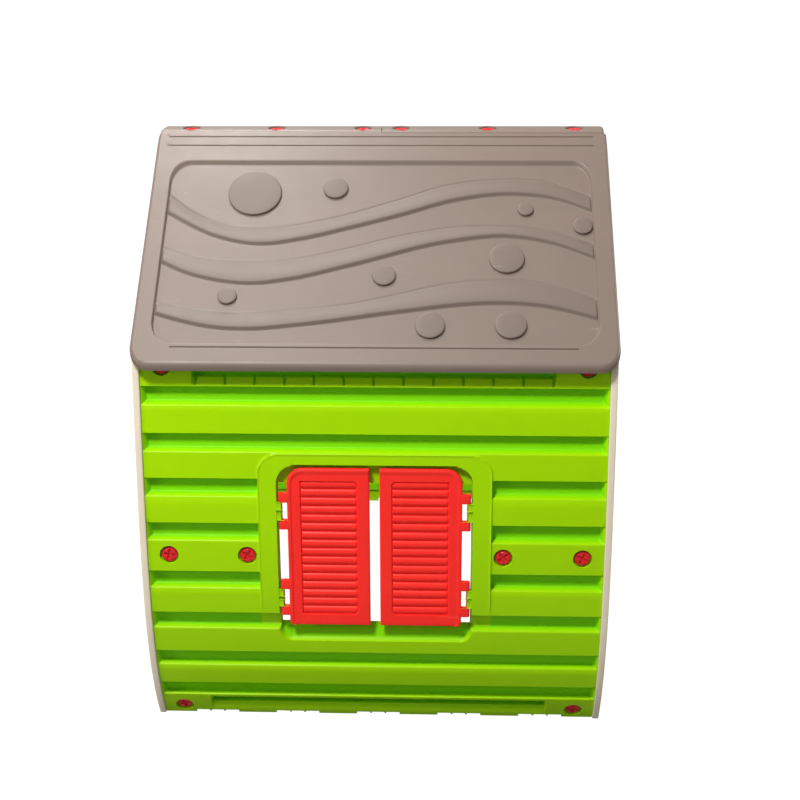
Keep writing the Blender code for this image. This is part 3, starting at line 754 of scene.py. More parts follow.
@dataclass(frozen=True)
class Screw:
    """A large round-headed plastic screw: a flange, four petals round a cross recess, and a shank."""

    head: float = 0.0155
    seat: float = -0.0070
    thick: float = 0.005
    petals: float = 0.0122
    petal_rise: float = 0.0012
    cross: float = 0.0023
    cross_reach: float = 0.0105
    cross_depth: float = 0.0026
    flange: float = 0.0128
    flange_drop: float = 0.0014
    shank: float = 0.0035
    pitch: float = 0.0032
    ridge: float = 0.0007
    rings_mm: tuple[float, ...] = (
        0.0, 1.2, 2.0, 2.8, 3.6, 4.6, 6, 7.4, 8.6, 9.6, 10.6, 11.4, 12.0, 12.6, 13.2, 14.2, 15.0, 15.5,
    )

    def face(self) -> Solid:
        """The head: its moulded face over a flat underside."""
        radii = np.array(self.rings_mm) * MILLIMETRE
        r, angle = np.meshgrid(radii, np.linspace(0.0, 2 * math.pi, 97), indexing="ij")
        x, y = r * np.cos(angle), r * np.sin(angle)
        arm = np.minimum(np.abs(x), np.abs(y))
        reach = smoothstep((self.cross_reach - r) / 0.0012)
        recess = smoothstep((self.cross + 0.0006 - arm) / 0.0012) * reach
        between = np.abs(np.sin(2 * angle))
        petal = smoothstep((self.petals - r - 0.0022 * (1 - between)) / 0.0010) * (1 - recess)
        flange = -self.flange_drop * smoothstep((r - self.flange) / 0.0027)
        plain = self.seat + self.thick - self.petal_rise
        top = plain + self.petal_rise * petal - self.cross_depth * recess + flange
        top = np.where(r > self.head - 1e-6, self.seat + 0.0012, top)
        front = np.stack([x, y, top], -1)
        back = front.copy()
        back[..., 2] = self.seat
        return closed_grid(front, back)

    def helix(self, length: float) -> Solid:
        """The ridge that winds up the shank."""
        turns = np.arange(0.0, (length - 0.016) / self.pitch, 1 / 16)
        spin = turns * 2 * math.pi
        out = np.column_stack([np.cos(spin), np.sin(spin), np.zeros(len(spin))])
        rise = np.column_stack([np.zeros((len(spin), 2)), 0.005 - length + turns * self.pitch])
        section = np.array([(0.0, -self.ridge), (self.ridge, 0.0), (0.0, self.ridge)])
        up = np.tile((0.0, 0.0, 1.0), (len(spin), 1))
        return swept(section, out * (self.shank - 0.0003) + rise, out, up, False)

    def mesh(self, length: float) -> bpy.types.Mesh:
        """Builds the screw, its head under the mouth of its cup and its shank along -Z."""
        top = self.seat + 0.001
        shank = [(0, top), (self.shank, top), (self.shank, 0.004 - length), (self.shank * 0.5, -length), (0, -length)]
        form = Form().add(self.face()).add(turned(shank, 20)).add(self.helix(length))
        mesh = form.mesh("screw")
        bm = bmesh.new()
        bm.from_mesh(mesh)
        bmesh.ops.remove_doubles(bm, verts=bm.verts, dist=1e-6)
        bm.to_mesh(mesh)
        bm.free()
        return mesh


CUP = ScrewCup()


@dataclass(frozen=True)
class SideWall:
    """A ribbed green wall: slats and grooves, a plate round the window, a pocket for the shutters."""

    half: float = 0.4333
    skin: float = 0.003
    groove_tops: tuple[float, ...] = (0.712, 0.6245, 0.539, 0.452, 0.354, 0.266, 0.176, 0.093)
    groove_width: float = 0.034
    groove_depth: float = 0.014
    ledge: float = 0.0042
    end_slope: float = 2.2
    draft: float = 0.0025
    plate_half: float = 0.2225
    plate_low: float = 0.274
    plate_high: float = 0.5905
    plate_radius: float = 0.042
    plate_proud: float = 0.0015
    window_half: float = 0.1825
    window_low: float = 0.236
    window_high: float = 0.528
    pocket_top: float = 0.5665
    pocket_radius: float = 0.037
    pocket_depth: float = 0.0135
    reveal_depth: float = 0.022
    sill_out: float = 0.205
    sill_radius: float = 0.028
    slot_half: float = 0.337
    tick_pitch: float = 0.055
    tick_half: float = 0.0022
    foot_cuts: tuple[float, ...] = (-0.328, -0.164, 0.0, 0.164, 0.328)
    foot_half: float = 0.0435
    foot_high: float = 0.007
    tooth_off: float = 0.0145
    tooth_half: float = 0.002
    tooth_low: float = 0.0028
    top_slot: Profile = ((0.7145, 0), (0.7295, 0.005), (0.7305, 0.015), (0.7405, 0.015), (0.7415, 0))
    low_slot: Profile = ((0.0325, 0), (0.0335, 0.018), (0.0435, 0.018), (0.0455, 0))
    top_ticks: Profile = ((0.7155, 0), (0.7175, 1), (0.7295, 1), (0.731, 0))
    low_ticks: Profile = ((0.0445, 0), (0.046, 1), (0.0545, 1), (0.056, 0))
    slot_bends: tuple[float, ...] = (0.0340, 0.0435, 0.0550, 0.7150, 0.7300, 0.7410)
    dent: Triple = (0.33, 0.392, 0.016)
    dent_depth: float = 0.0005
    bead: float = 0.0014
    pocket_gap: float = 0.0025
    screws: Profile = ((0.393, 0.0235), (0.393, 0.388), (0.243, 0.388), (0.393, 0.7500))

    def groove(self, x: np.ndarray, z: np.ndarray) -> np.ndarray:
        """Depth of the grooves, which slope up to the slat faces at both ends."""

        def profile(at: np.ndarray) -> np.ndarray:
            """All the grooves' sections, as shares of their depth."""
            depth = np.zeros_like(at)
            for top in self.groove_tops:
                foot = top - self.groove_width
                depth += traced(((foot, 0), (foot + self.ledge, 1), (top - self.draft, 1), (top, 0)), at)
            return depth

        ends = np.maximum(self.half - np.abs(x) - 0.0015, 0.0) * self.end_slope
        return np.minimum(softened(profile, z) * self.groove_depth, ends)

    def slots(self, x: np.ndarray, z: np.ndarray) -> np.ndarray:
        """Depth of the long slots near the top and the bottom, with their row of rib marks."""
        span = smoothstep((self.slot_half - np.abs(x)) / 0.002)
        top = softened(lambda at: traced(self.top_slot, at), z)
        low = softened(lambda at: traced(self.low_slot, at), z)
        off = np.abs(x - np.round(x / self.tick_pitch) * self.tick_pitch)
        tick = smoothstep((self.tick_half + 0.0006 - off) / 0.0012)
        upper = traced(self.top_ticks, z) * tick * 0.0045
        lower = traced(self.low_ticks, z) * tick * 0.0012
        return span * (top + low + upper + lower)

    def face(self, x: np.ndarray, z: np.ndarray) -> np.ndarray:
        """Depth of the slats, grooves, slots and the plate, as if the wall had no window."""
        base = self.groove(x, z) + self.slots(x, z)
        spot, height, wide = self.dent
        for side in (-spot, spot):
            base = base + self.dent_depth * np.exp(-((x - side) ** 2 + (z - height) ** 2) / (2 * wide**2))
        plate = inside_top_rounded(x, z, self.plate_half, self.plate_low, self.plate_high, self.plate_radius)
        share = smoothstep(plate / 0.003)
        bead = self.bead * np.exp(-(((plate - 0.0032) / 0.0013) ** 2))
        return (1 - share) * base - share * (self.plate_proud + bead)

    def depth(self, x: np.ndarray, z: np.ndarray) -> np.ndarray:
        """How far the wall's surface lies behind its slat faces."""
        base = self.face(x, z)
        half = self.window_half + self.pocket_gap
        pocket = inside_top_rounded(x, z, half, self.sill_out - 0.1, self.pocket_top, self.pocket_radius)
        recess = smoothstep(pocket / 0.0025)
        deep = traced(((self.window_low, self.reveal_depth), (self.window_high, self.pocket_depth)), z)
        hollow = (1 - recess) * base + recess * deep
        sill = inside_top_rounded(x, -z, half + 0.001, -1.0, -self.sill_out, self.sill_radius)
        lip = ((self.sill_out, 0), (self.sill_out + 0.003, 0.008), (self.window_low, self.reveal_depth))
        sides = softened(lambda at: 4.0 * np.maximum(at, 0.0), sill, 0.0008)
        below = np.minimum(traced(lip, z), sides) + (1 - smoothstep(sill / 0.002)) * base
        return np.where(z >= self.window_low - 1e-6, hollow, below)

    def lines_along(self) -> Lines:
        """The grid's upright lines."""
        ticks = [k * self.tick_pitch + v for k in range(-6, 7) for v in (-0.003, -0.0014, 0.0014, 0.003)]
        feet = [c + v for c in self.foot_cuts for v in mirrored([self.foot_half])]
        gaps = [t + s * self.tooth_half for t in mirrored([self.tooth_off]) for s in (-1, 1)]
        teeth = [c + v for c in self.foot_cuts for v in gaps]
        sides = mirrored([self.window_half + v for v in (0.0, 0.0012, self.pocket_gap)])
        edges = mirrored([self.plate_half, self.slot_half])
        dense = []
        for start, end, step in (
            (self.window_half - self.pocket_radius, self.window_half, 0.0028),
            (0.178, self.plate_half + 0.001, 0.0026),
            (self.half - 0.012, self.half, 0.003),
        ):
            dense += [(-end, -start, step), (start, end, step)]
        fixed = [*sides, *feet, *teeth, *ticks]
        return grid_lines(-self.half, self.half, 0.016, edges, fixed, dense, 0.0012)

    def lines_up(self) -> Lines:
        """The grid's level lines."""
        bends = []
        for top in self.groove_tops:
            foot = top - self.groove_width
            bends += [foot, foot + self.ledge, top - self.draft, top]
        fixed = [self.window_low, self.window_low - 0.0004, self.window_high, self.foot_high]
        dense = [(self.plate_high - self.plate_radius, self.plate_high + 0.001, 0.0028)]
        dense += [(self.window_high, self.pocket_top, 0.0028), (self.sill_out - 0.001, self.window_low, 0.003)]
        fixed += [self.tooth_low, self.sill_out]
        return grid_lines(0.0, SHAPE.wall_top, 0.018, [*bends, *self.slot_bends], fixed, dense)

    def form(self) -> Form:
        """The near wall's plastic, without its screw holes."""
        xs, zs = self.lines_along(), self.lines_up()
        x, z = np.meshgrid(xs, zs)
        depth = self.depth(x, z)
        front = np.stack([x, SHAPE.face_inset - SHAPE.half_depth(z) + depth, z], -1)
        back = front + (0.0, self.skin, 0.0)
        cx, cz = np.meshgrid((xs[:-1] + xs[1:]) / 2, (zs[:-1] + zs[1:]) / 2)
        gone = (np.abs(cx) < self.window_half) & (cz > self.window_low) & (cz < self.window_high)
        for centre in self.foot_cuts:
            off = np.abs(cx - centre)
            tooth = (np.abs(off - self.tooth_off) < self.tooth_half) & (cz > self.tooth_low)
            gone |= (off < self.foot_half) & (cz < self.foot_high) & ~tooth
        plate = inside_top_rounded(
            x, z, self.plate_half, self.sill_out - 0.002, self.plate_high, self.plate_radius
        )
        # Painted shade: grooves, slots and the sill take a darker, greener colour by how deep they lie, standing in
        # for the shade inside them.
        hollow = np.clip((depth - 0.003) / 0.008, 0.0, 1.0) * ((plate < 0) | (z < self.window_low))
        return Form().add(closed_grid(front, back, ~gone), textured=np.tile(hollow.reshape(-1), 2))

    def lug(self) -> list[Solid]:
        """A hinge lug that reaches from the jamb: two barrels and a thinner waist between them."""
        reach, half, waist = -0.0093, HINGE.lug_half, 0.0034
        solids = [barrel(reach, -half, -waist, HINGE.radius), barrel(reach, waist, half, HINGE.radius)]
        return [*solids, barrel(reach, -waist - 0.002, waist + 0.002, 0.4 * HINGE.radius, 0.0)]

    def build(self) -> bpy.types.Mesh:
        """The near wall's mesh."""
        cutters, parts = Form(), Form()
        for side in Side:
            for x, z in self.screws:
                place = SHAPE.wall_frame(side.value * x, z)
                cutters.add(plug(CUP.radius), place)
                parts.add(CUP.liner(), place)
            mirror = MIRROR_X if side is Side.RIGHT else Matrix.Identity(4)
            for middle in HINGE.middles():
                place = HINGE.place(side) @ mirror @ Matrix.Translation((0.0, 0.0, middle))
                for solid in self.lug():
                    parts.add(solid, place)
        wall = self.form().build("draft_wall", Finish.GREEN)
        drill(wall, cutters)
        return joined(wall, parts)


def joined(obj: bpy.types.Object, parts: Form) -> bpy.types.Mesh:
    """The mesh of an object with more bodies beside it; the object itself goes."""
    mesh = obj.data
    extra = parts.mesh("extra")
    bm = bmesh.new()
    bm.from_mesh(mesh)
    bm.from_mesh(extra)
    bm.to_mesh(mesh)
    bm.free()
    bpy.data.objects.remove(obj, do_unlink=True)
    bpy.data.meshes.remove(extra)
    return mesh


@dataclass(frozen=True)
class Shutter:
    """A louvred leaf, built about its hinge axis for the left side of a window."""

    outer: float = 0.011
    inner: float = 0.1665
    low_z: float = 0.243
    high_z: float = 0.561
    front: float = -0.005
    thick: float = 0.014
    corner: float = 0.030
    low_corner: float = 0.008
    fillet: float = 0.0030
    louvres: int = 16
    blade_mm: Profile = ((0, 5.4), (0.08, 4.4), (0.30, 1.5), (0.50, 0.7), (0.75, 1.2), (0.93, 3.4), (1, 5.4))

    @property
    def low(self) -> float:
        """The leaf's lower end along the axis."""
        return (self.low_z - HINGE.heights[0]) * HINGE.stretch

    @property
    def high(self) -> float:
        """The leaf's upper end along the axis."""
        return (self.high_z - HINGE.heights[0]) * HINGE.stretch

    def left_edge(self, z: np.ndarray) -> np.ndarray:
        """Where the leaf's hinge side is, with its rounded corners."""
        up = np.clip(z - (self.high - self.corner), 0.0, self.corner)
        down = np.clip(self.low + self.low_corner - z, 0.0, self.low_corner)
        top = self.corner - np.sqrt(self.corner**2 - up**2)
        bottom = self.low_corner - np.sqrt(self.low_corner**2 - down**2)
        return self.outer + top + bottom

    def inset(self, x: np.ndarray, z: np.ndarray, right: bool = True, bottom: bool = True) -> np.ndarray:
        """How far inside the leaf's outline a point is, with or without counting two of its sides."""
        near = np.minimum(x - self.left_edge(z), self.high - z)
        over_x, over_z = self.outer + self.corner - x, z - (self.high - self.corner)
        near = np.where((over_x > 0) & (over_z > 0), self.corner - np.hypot(over_x, over_z), near)
        if right:
            near = np.minimum(near, self.inner - x)
        if bottom:
            near = np.minimum(near, z - self.low)
        return np.maximum(near, 0.0)

    def relief(self, x: np.ndarray, z: np.ndarray) -> np.ndarray:
        """Depth of the leaf's face: a rim along the top and the hinge side, and the louvred panel."""
        edge = self.inset(x, z)
        fillet = self.fillet - np.sqrt(self.fillet**2 - np.clip(self.fillet - edge, 0.0, self.fillet) ** 2)
        rim = 0.0018 * smoothstep((self.inset(x, z, False, False) - 0.0065) / 0.002)
        left, right = self.outer + 0.0245, self.inner - 0.0225
        low, high = self.low + 0.022, self.high - 0.024
        corner = (right - x + np.minimum(z - low, high - z) - 0.006) / math.sqrt(2)
        panel = np.minimum(np.minimum(np.minimum(x - left, right - x), np.minimum(z - low, high - z)), corner)
        share = smoothstep(panel / 0.0016)
        turn = (z - low) / (high - low) * self.louvres
        within = turn - np.floor(turn)
        blade = traced(self.blade_mm, within) * MILLIMETRE
        ends = smoothstep(panel / 0.0045)
        return fillet + rim + share * ((1 - ends) * 0.0042 + ends * blade)

    def form(self) -> Form:
        """The leaf and its knuckles."""
        arc = np.linspace(0.0, math.pi / 2, 12)
        up = self.high - self.corner + self.corner * np.sin(arc)
        low, high = self.low + 0.022, self.high - 0.024
        pitch = (high - low) / self.louvres
        steps = (0.0, 0.08, 0.18, 0.30, 0.40, 0.52, 0.64, 0.76, 0.88, 0.95)
        blades = [low + (k + s) * pitch for k in range(self.louvres) for s in steps]
        ends = [self.low + d for d in (0.0003, 0.0009, 0.0018, 0.0035, 0.008)]
        tops = [self.high - d for d in (0.0003, 0.0009, 0.0018, 0.0035)]
        zs = grid_lines(self.low, self.high, 0.01, (), [*up, *ends, *tops, *blades, high], (), 0.0004)
        insets = np.array([0.0, 0.0003, 0.0009, 0.0018, 0.003, 0.0060, 0.0070, 0.0082, 0.0090, 0.012])
        middle = grid_lines(0.0, 1.0, 0.06, (), (), [(0.07, 0.15, 0.009), (0.85, 0.94, 0.009)], 0.01)
        start, end = self.left_edge(zs)[:, None], self.inner
        columns = [start + insets[None, :-1]]
        columns.append(start + insets[-1] + middle[None, :] * (end - start - 2 * insets[-1]))
        columns.append(np.broadcast_to(end - insets[::-1][None, 1:], (len(zs), len(insets) - 1)))
        x = np.concatenate(columns, 1)
        z = np.broadcast_to(zs[:, None], x.shape)
        depth = self.relief(x, z)
        front = np.stack([x, self.front + depth, z], -1)
        back = np.stack([x, self.front + self.thick - 0.75 * depth, z], -1)
        form = Form().add(closed_grid(front, back))
        for span in HINGE.knuckles(HINGE.middles()):
            form.add(barrel(self.outer + 0.006, *span, HINGE.radius))
        return form


@dataclass(frozen=True)
class Wave:
    """A raised ribbon on the roof: a soft upper edge, and a lower edge that drops crisply."""

    upper: tuple[tuple[float, float], ...]
    lower: tuple[tuple[float, float], ...]
    height: float = 0.0052
    dip: float = 0.0010
    dips: Profile = ((0.02, 1.0), (0.05, 1.0), (0.09, 0.3))
    crests: tuple[float, ...] = (0.16, 0.28, 0.42, 0.6, 0.78, 0.90)
    fall: Profile = ((-0.0012, 1.0), (-0.0004, 0.93), (0.0002, 0.72), (0.0010, 0.22), (0.0018, 0.0))


def through(points: Sequence[tuple[float, float]], x: np.ndarray) -> np.ndarray:
    """A smooth curve through a few points, read at x."""
    px, py = (np.array(v) for v in zip(*points))
    slopes = np.gradient(py, px)
    x = np.clip(x, px[0], px[-1])
    k = np.clip(np.searchsorted(px, x) - 1, 0, len(px) - 2)
    span = px[k + 1] - px[k]
    t = (x - px[k]) / span
    rise = (2 * t**3 - 3 * t**2 + 1) * py[k] + (3 * t**2 - 2 * t**3) * py[k + 1]
    return rise + span * ((t**3 - 2 * t**2 + t) * slopes[k] + (t**3 - t**2) * slopes[k + 1])


def level(out: float) -> Line:
    """The line at one distance from the ridge."""
    return lambda x: np.full_like(x, out)


def between(first: Line, second: Line, share: float) -> Line:
    """The line at a share of the way from one line to another."""
    return lambda x: (1 - share) * first(x) + share * second(x)


def shifted(line: Line, step: float) -> Line:
    """A line moved down the slope."""
    return lambda x: line(x) + step


def curve(points: Profile) -> Line:
    """The smooth line through a few points."""
    return lambda x: through(points, x)


@dataclass(frozen=True)
class RoofPanel:
    """One slope of the roof with its tab over the ridge: a recessed field with waves and discs."""

    half: float = 0.450
    skin: float = 0.003
    lip_drop: float = 0.0128
    lip_round: float = 0.0062
    corner: float = 0.037
    tab: float = 0.0265
    split: float = 0.0006
    field_half: float = 0.4155
    field_near: float = 0.0815
    field_far: float = 0.4175
    field_depth: float = 0.0065
    field_radius: float = 0.040
    draft: float = 0.0040
    disc_height: float = 0.0052
    disc_edge: float = 0.0026
    grooves: tuple[Triple, ...] = ((0.035, -0.428, 0.424), (0.0526, -0.428, 0.424), (0.4236, -0.376, 0.3735))
    ridge_screws: tuple[float, ...] = (0.0385, 0.2135, 0.3875)
    waves: tuple[Wave, ...] = (
        Wave(
            ((-0.43, 0.127), (-0.365, 0.1705), (-0.303, 0.195), (-0.225, 0.2023), (-0.094, 0.185),
             (0.017, 0.1553), (0.138, 0.1194), (0.242, 0.1088), (0.324, 0.1124), (0.43, 0.149)),
            ((-0.43, 0.170), (-0.314, 0.2221), (-0.231, 0.2367), (-0.147, 0.2272), (-0.054, 0.2064),
             (0.045, 0.1818), (0.138, 0.156), (0.257, 0.1421), (0.34, 0.150), (0.43, 0.180)),
        ),
        Wave(
            ((-0.43, 0.233), (-0.347, 0.2563), (-0.252, 0.2633), (-0.147, 0.2574), (-0.053, 0.2388),
             (0.042, 0.2165), (0.138, 0.2012), (0.24, 0.1979), (0.313, 0.2031), (0.43, 0.236)),
            ((-0.43, 0.262), (-0.366, 0.2882), (-0.305, 0.3023), (-0.24, 0.3081), (-0.161, 0.2999),
             (-0.051, 0.2754), (0.138, 0.2312), (0.251, 0.2213), (0.33, 0.2330), (0.43, 0.266)),
        ),
        Wave(
            ((-0.43, 0.336), (-0.35, 0.350), (-0.252, 0.3558), (-0.14, 0.3483), (-0.048, 0.3392),
             (0.045, 0.3212), (0.131, 0.3034), (0.214, 0.2957), (0.307, 0.2989), (0.43, 0.334)),
            ((-0.43, 0.357), (-0.369, 0.3729), (-0.295, 0.3856), (-0.239, 0.3877), (-0.136, 0.3798),
             (0.046, 0.357), (0.167, 0.3436), (0.222, 0.3411), (0.31, 0.3455), (0.43, 0.3715)),
        ),
    )
    discs: tuple[tuple[float, float, float], ...] = (
        (-0.244, 0.1405, 0.0525), (-0.086, 0.1305, 0.0246), (-0.279, 0.3297, 0.0182), (0.014, 0.2921, 0.0226),
        (0.246, 0.2606, 0.0337), (0.284, 0.1698, 0.0155), (0.393, 0.2007, 0.0190), (0.102, 0.3792, 0.0279),
        (0.251, 0.3776, 0.0298),
    )

    def half_width(self, out: np.ndarray) -> np.ndarray:
        """Half the panel's length at a distance out from the ridge line, with rounded eave corners."""
        past = np.clip(out - (SHAPE.eave_y - self.corner), 0.0, self.corner)
        near = np.clip(0.05 - out, 0.0, 0.05)
        ridge = 0.0035 * (near / 0.05) ** 2
        return self.half - self.corner + np.sqrt(self.corner**2 - past**2) - ridge

    def field(self, x: np.ndarray, out: np.ndarray) -> np.ndarray:
        """How deep inside the recessed field a point is."""
        middle = (self.field_near + self.field_far) / 2
        reach = (self.field_far - self.field_near) / 2
        over_x = np.abs(x) - (self.field_half - self.field_radius)
        over_y = np.abs(out - middle) - (reach - self.field_radius)
        outside = np.hypot(np.maximum(over_x, 0.0), np.maximum(over_y, 0.0))
        return self.field_radius - outside - np.minimum(np.maximum(over_x, over_y), 0.0)

    def stations(self) -> list[tuple[Line, float, float]]:
        """The grid's lines down the slope: where each runs, its lift and how much grain it has."""
        finish = level(self.field_far - self.draft - 0.0006)
        lines = [(level(v), 0.0, 0.0) for v in self.plain_lines(-self.tab, self.field_near + self.draft)]
        last = level(self.field_near + self.draft + 0.0006)
        for wave in self.waves:
            upper, lower = curve(wave.upper), curve(wave.lower)
            count = 40 if wave is self.waves[0] else 6
            shares = [*np.linspace(0.0, 0.97, count), 0.985, 0.995]
            lines += [(between(last, upper, s), 0.0, 0.0) for s in shares]
            for share, dip in wave.dips:
                lines.append((between(upper, lower, share), -wave.dip * dip, min(1.0, share / 0.05)))
            for share in wave.crests:
                rise = wave.height * float(smoothstep(np.array(share / 0.9)))
                lines.append((between(upper, lower, share), rise, 1.0))
            for past, share in wave.fall:
                lines.append((shifted(lower, past), wave.height * share, share))
            last = shifted(lower, 0.0024)
        lines += [(between(last, finish, s), 0.0, 0.0) for s in np.linspace(0.0, 1.0, 34)]
        edge = self.plain_lines(self.field_far - self.draft, SHAPE.eave_y - 0.006)
        return lines + [(level(v), 0.0, 0.0) for v in edge]

    def plain_lines(self, low: float, high: float) -> Lines:
        """Lines across the panel's plain parts, close together at its grooves and bends."""
        fixed = [at + o for at, _, _ in self.grooves for o in (-0.0013, -0.0006, 0.0006, 0.0013)]
        fixed += [SHAPE.land - 0.006, SHAPE.land - 0.002, SHAPE.land + 0.002, SHAPE.land + 0.006, -SHAPE.land]
        fixed += [self.tab, self.tab + 0.0008]
        ramps = [(self.field_near - 0.0006, self.field_near + self.draft, 0.0009)]
        ramps += [(self.field_far - self.draft, self.field_far + 0.0008, 0.0009)]
        return grid_lines(low, high, 0.012, (), fixed, ramps, 0.0008)

    def lines_along(self) -> Lines:
        """The grid's lines along the ridge's direction, for a full-width stretch of the panel."""
        side = self.field_half
        dense = [(s * side - 0.0055, s * side + 0.0055, 0.0009) for s in (-1, 1)]
        dense += [(s * 0.393 - 0.022, s * 0.393 + 0.022, 0.0016) for s in (-1, 1)]
        fixed = [-self.split, self.split, -0.428, -0.4266, 0.4226, 0.424, -0.376, -0.3746, 0.3722, 0.3735]
        return grid_lines(-self.half + 0.006, self.half - 0.006, 0.0062, (), fixed, dense, 0.0008)

    def groove(self, x: np.ndarray, out: np.ndarray) -> np.ndarray:
        """Depth of the thin grooves along the ridge and the eave."""
        depth = np.zeros_like(out)
        for at, low, high in self.grooves:
            along = smoothstep(np.minimum(x - low, high - x) / 0.0012)
            depth += 0.0022 * smoothstep((0.0013 - np.abs(out - at)) / 0.0007) * along
        return depth

    def surface(self) -> Solid:
        """The sheet with its field, waves and grooves, as a closed body."""
        stations, xs = self.stations(), self.lines_along()
        flat = self.half - self.corner - 0.02
        out = np.stack([line(xs) for line, _, _ in stations])
        spread = self.half_width(np.maximum(out, 0.0)) - 0.006
        past = (np.abs(xs) - flat) / (self.half - 0.006 - flat)
        x = np.where(np.abs(xs) > flat, np.sign(xs) * (flat + past * (spread - flat)), xs[None])
        lift = np.array([rise for _, rise, _ in stations])[:, None]
        inside = smoothstep(self.field(x, out) / self.draft)
        fully = smoothstep((self.field(x, out) - self.draft * 0.6) / self.draft)
        rise = -self.field_depth * inside + lift * fully - self.groove(x, out)
        lowered = (x > 0) & (out < self.tab + 1e-6)
        step = (self.skin + GAP) * lowered
        scale = np.where(np.abs(out) < SHAPE.land, 1.0, 1.0 / math.cos(SHAPE.tilt))
        top = SHAPE.roof_height(out) + (rise - step) * scale
        front = np.stack([x, -out, top], -1)
        back = front - np.stack([np.zeros_like(x), np.zeros_like(x), self.skin * scale], -1)
        middle_x = (xs[:-1] + xs[1:]) / 2
        middle_out = (out[:-1, :1] + out[1:, :1]) / 2
        gone = (np.abs(middle_x)[None] < self.split) & (middle_out < self.tab)
        beyond = (middle_x[None] > 0) & (middle_out < -self.tab + 0.001)
        return closed_grid(front, back, ~(gone | beyond))

    def shares(self) -> np.ndarray:
        """How much grain each point of the surface has, both sheets."""
        stations, xs = self.stations(), self.lines_along()
        out = np.stack([line(xs) for line, _, _ in stations])
        share = np.array([value for _, _, value in stations])[:, None]
        fully = smoothstep((self.field(np.broadcast_to(xs, out.shape), out) - self.draft * 0.6) / self.draft)
        return np.tile((share * fully).reshape(-1), 2)

    def lip(self) -> Solid:
        """The rounded edge along the sides and the eave, a bead that hangs below the sheet."""
        straight = SHAPE.eave_y - self.corner
        turn = np.linspace(0.0, math.pi / 2, 15)
        arc = [(self.half - self.corner * (1 - math.cos(a)), straight + self.corner * math.sin(a)) for a in turn]

        def side(start: float) -> np.ndarray:
            outs = np.linspace(start, straight, 24)[:-1]
            return np.vstack([np.column_stack([self.half_width(np.maximum(outs, 0.0)), outs]), arc])

        eave = np.column_stack([np.linspace(-0.37, 0.37, 12), np.full(12, SHAPE.eave_y)])
        path = np.vstack([side(0.0003 - self.tab) * (-1, 1), eave, side(self.tab + 0.0008)[::-1]]) * (1, -1)
        inward = mitred(path, False)
        radius, wide, drop = self.lip_round, 0.0075, self.lip_drop
        angles = np.linspace(0.0, math.pi / 2, 6)
        section = [(radius * (1 - math.sin(a)), -radius * (1 - math.cos(a))) for a in angles[::-1]]
        section = [(wide, -0.00005), *[(u, v) for u, v in reversed(section)]]
        section += [(0.0002, -drop + 0.0008), (0.0010, -drop), (0.0024, -drop), (0.0031, -drop + 0.0008)]
        section += [(0.0034, -0.0052), (wide, -0.0030)]
        section = np.array(section)
        rings = []
        for (x, y), normal in zip(path, inward):
            for u, v in section:
                px, py = x + normal[0] * u, y + normal[1] * u
                hang = v / math.cos(SHAPE.tilt) * (0.82 if v < -0.01 else 1.0)
                rings.append((px, py, float(SHAPE.roof_height(py)) + hang))
        size, count = len(section), len(path)
        ends = [face[::-1] for face in end_faces(count, size)]
        return np.array(rings), ends + ring_faces(count, size)

    def disc(self, radius: float) -> Solid:
        """A raised button with a rounded edge."""
        high, edge = self.disc_height, self.disc_edge
        angles = np.linspace(0.0, math.pi / 2, 5)
        profile = [(0.0, -0.004), (radius, -0.004), (radius, high - edge)]
        profile += [(radius - edge * (1 - math.cos(a)), high - edge + edge * math.sin(a)) for a in angles[1:]]
        profile += [(radius * 0.6, high + 0.0002), (0.0, high + 0.0003)]
        return turned(profile, 64)

    def build(self) -> bpy.types.Mesh:
        """The near panel's mesh."""
        panel = Form().add(self.surface(), textured=self.shares()).build("draft_roof", Finish.TAUPE)
        cutters, parts = Form(), Form()
        for x in self.ridge_screws:
            for side in (-1, 1):
                place = Matrix.Translation((side * x, 0.0, SHAPE.ridge_z))
                if side < 0:
                    cutters.add(plug(CUP.radius), place)
                    parts.add(CUP.liner(), place)
                else:
                    cutters.add(plug(CUP.radius + CUP.wall + GAP), place)
        drill(panel, cutters)
        parts.add(self.lip())
        lean = Matrix.Rotation(SHAPE.tilt, 4, "X")
        for x, out, radius in self.discs:
            height = float(SHAPE.roof_height(out)) - self.field_depth / math.cos(SHAPE.tilt)
            place = Matrix.Translation((x, -out, height)) @ lean
            solid = self.disc(radius)
            level = np.linalg.norm(solid[0][:, :2], axis=1) < radius - 0.0015
            parts.add(solid, place, level.astype(float))
        return joined(panel, parts)


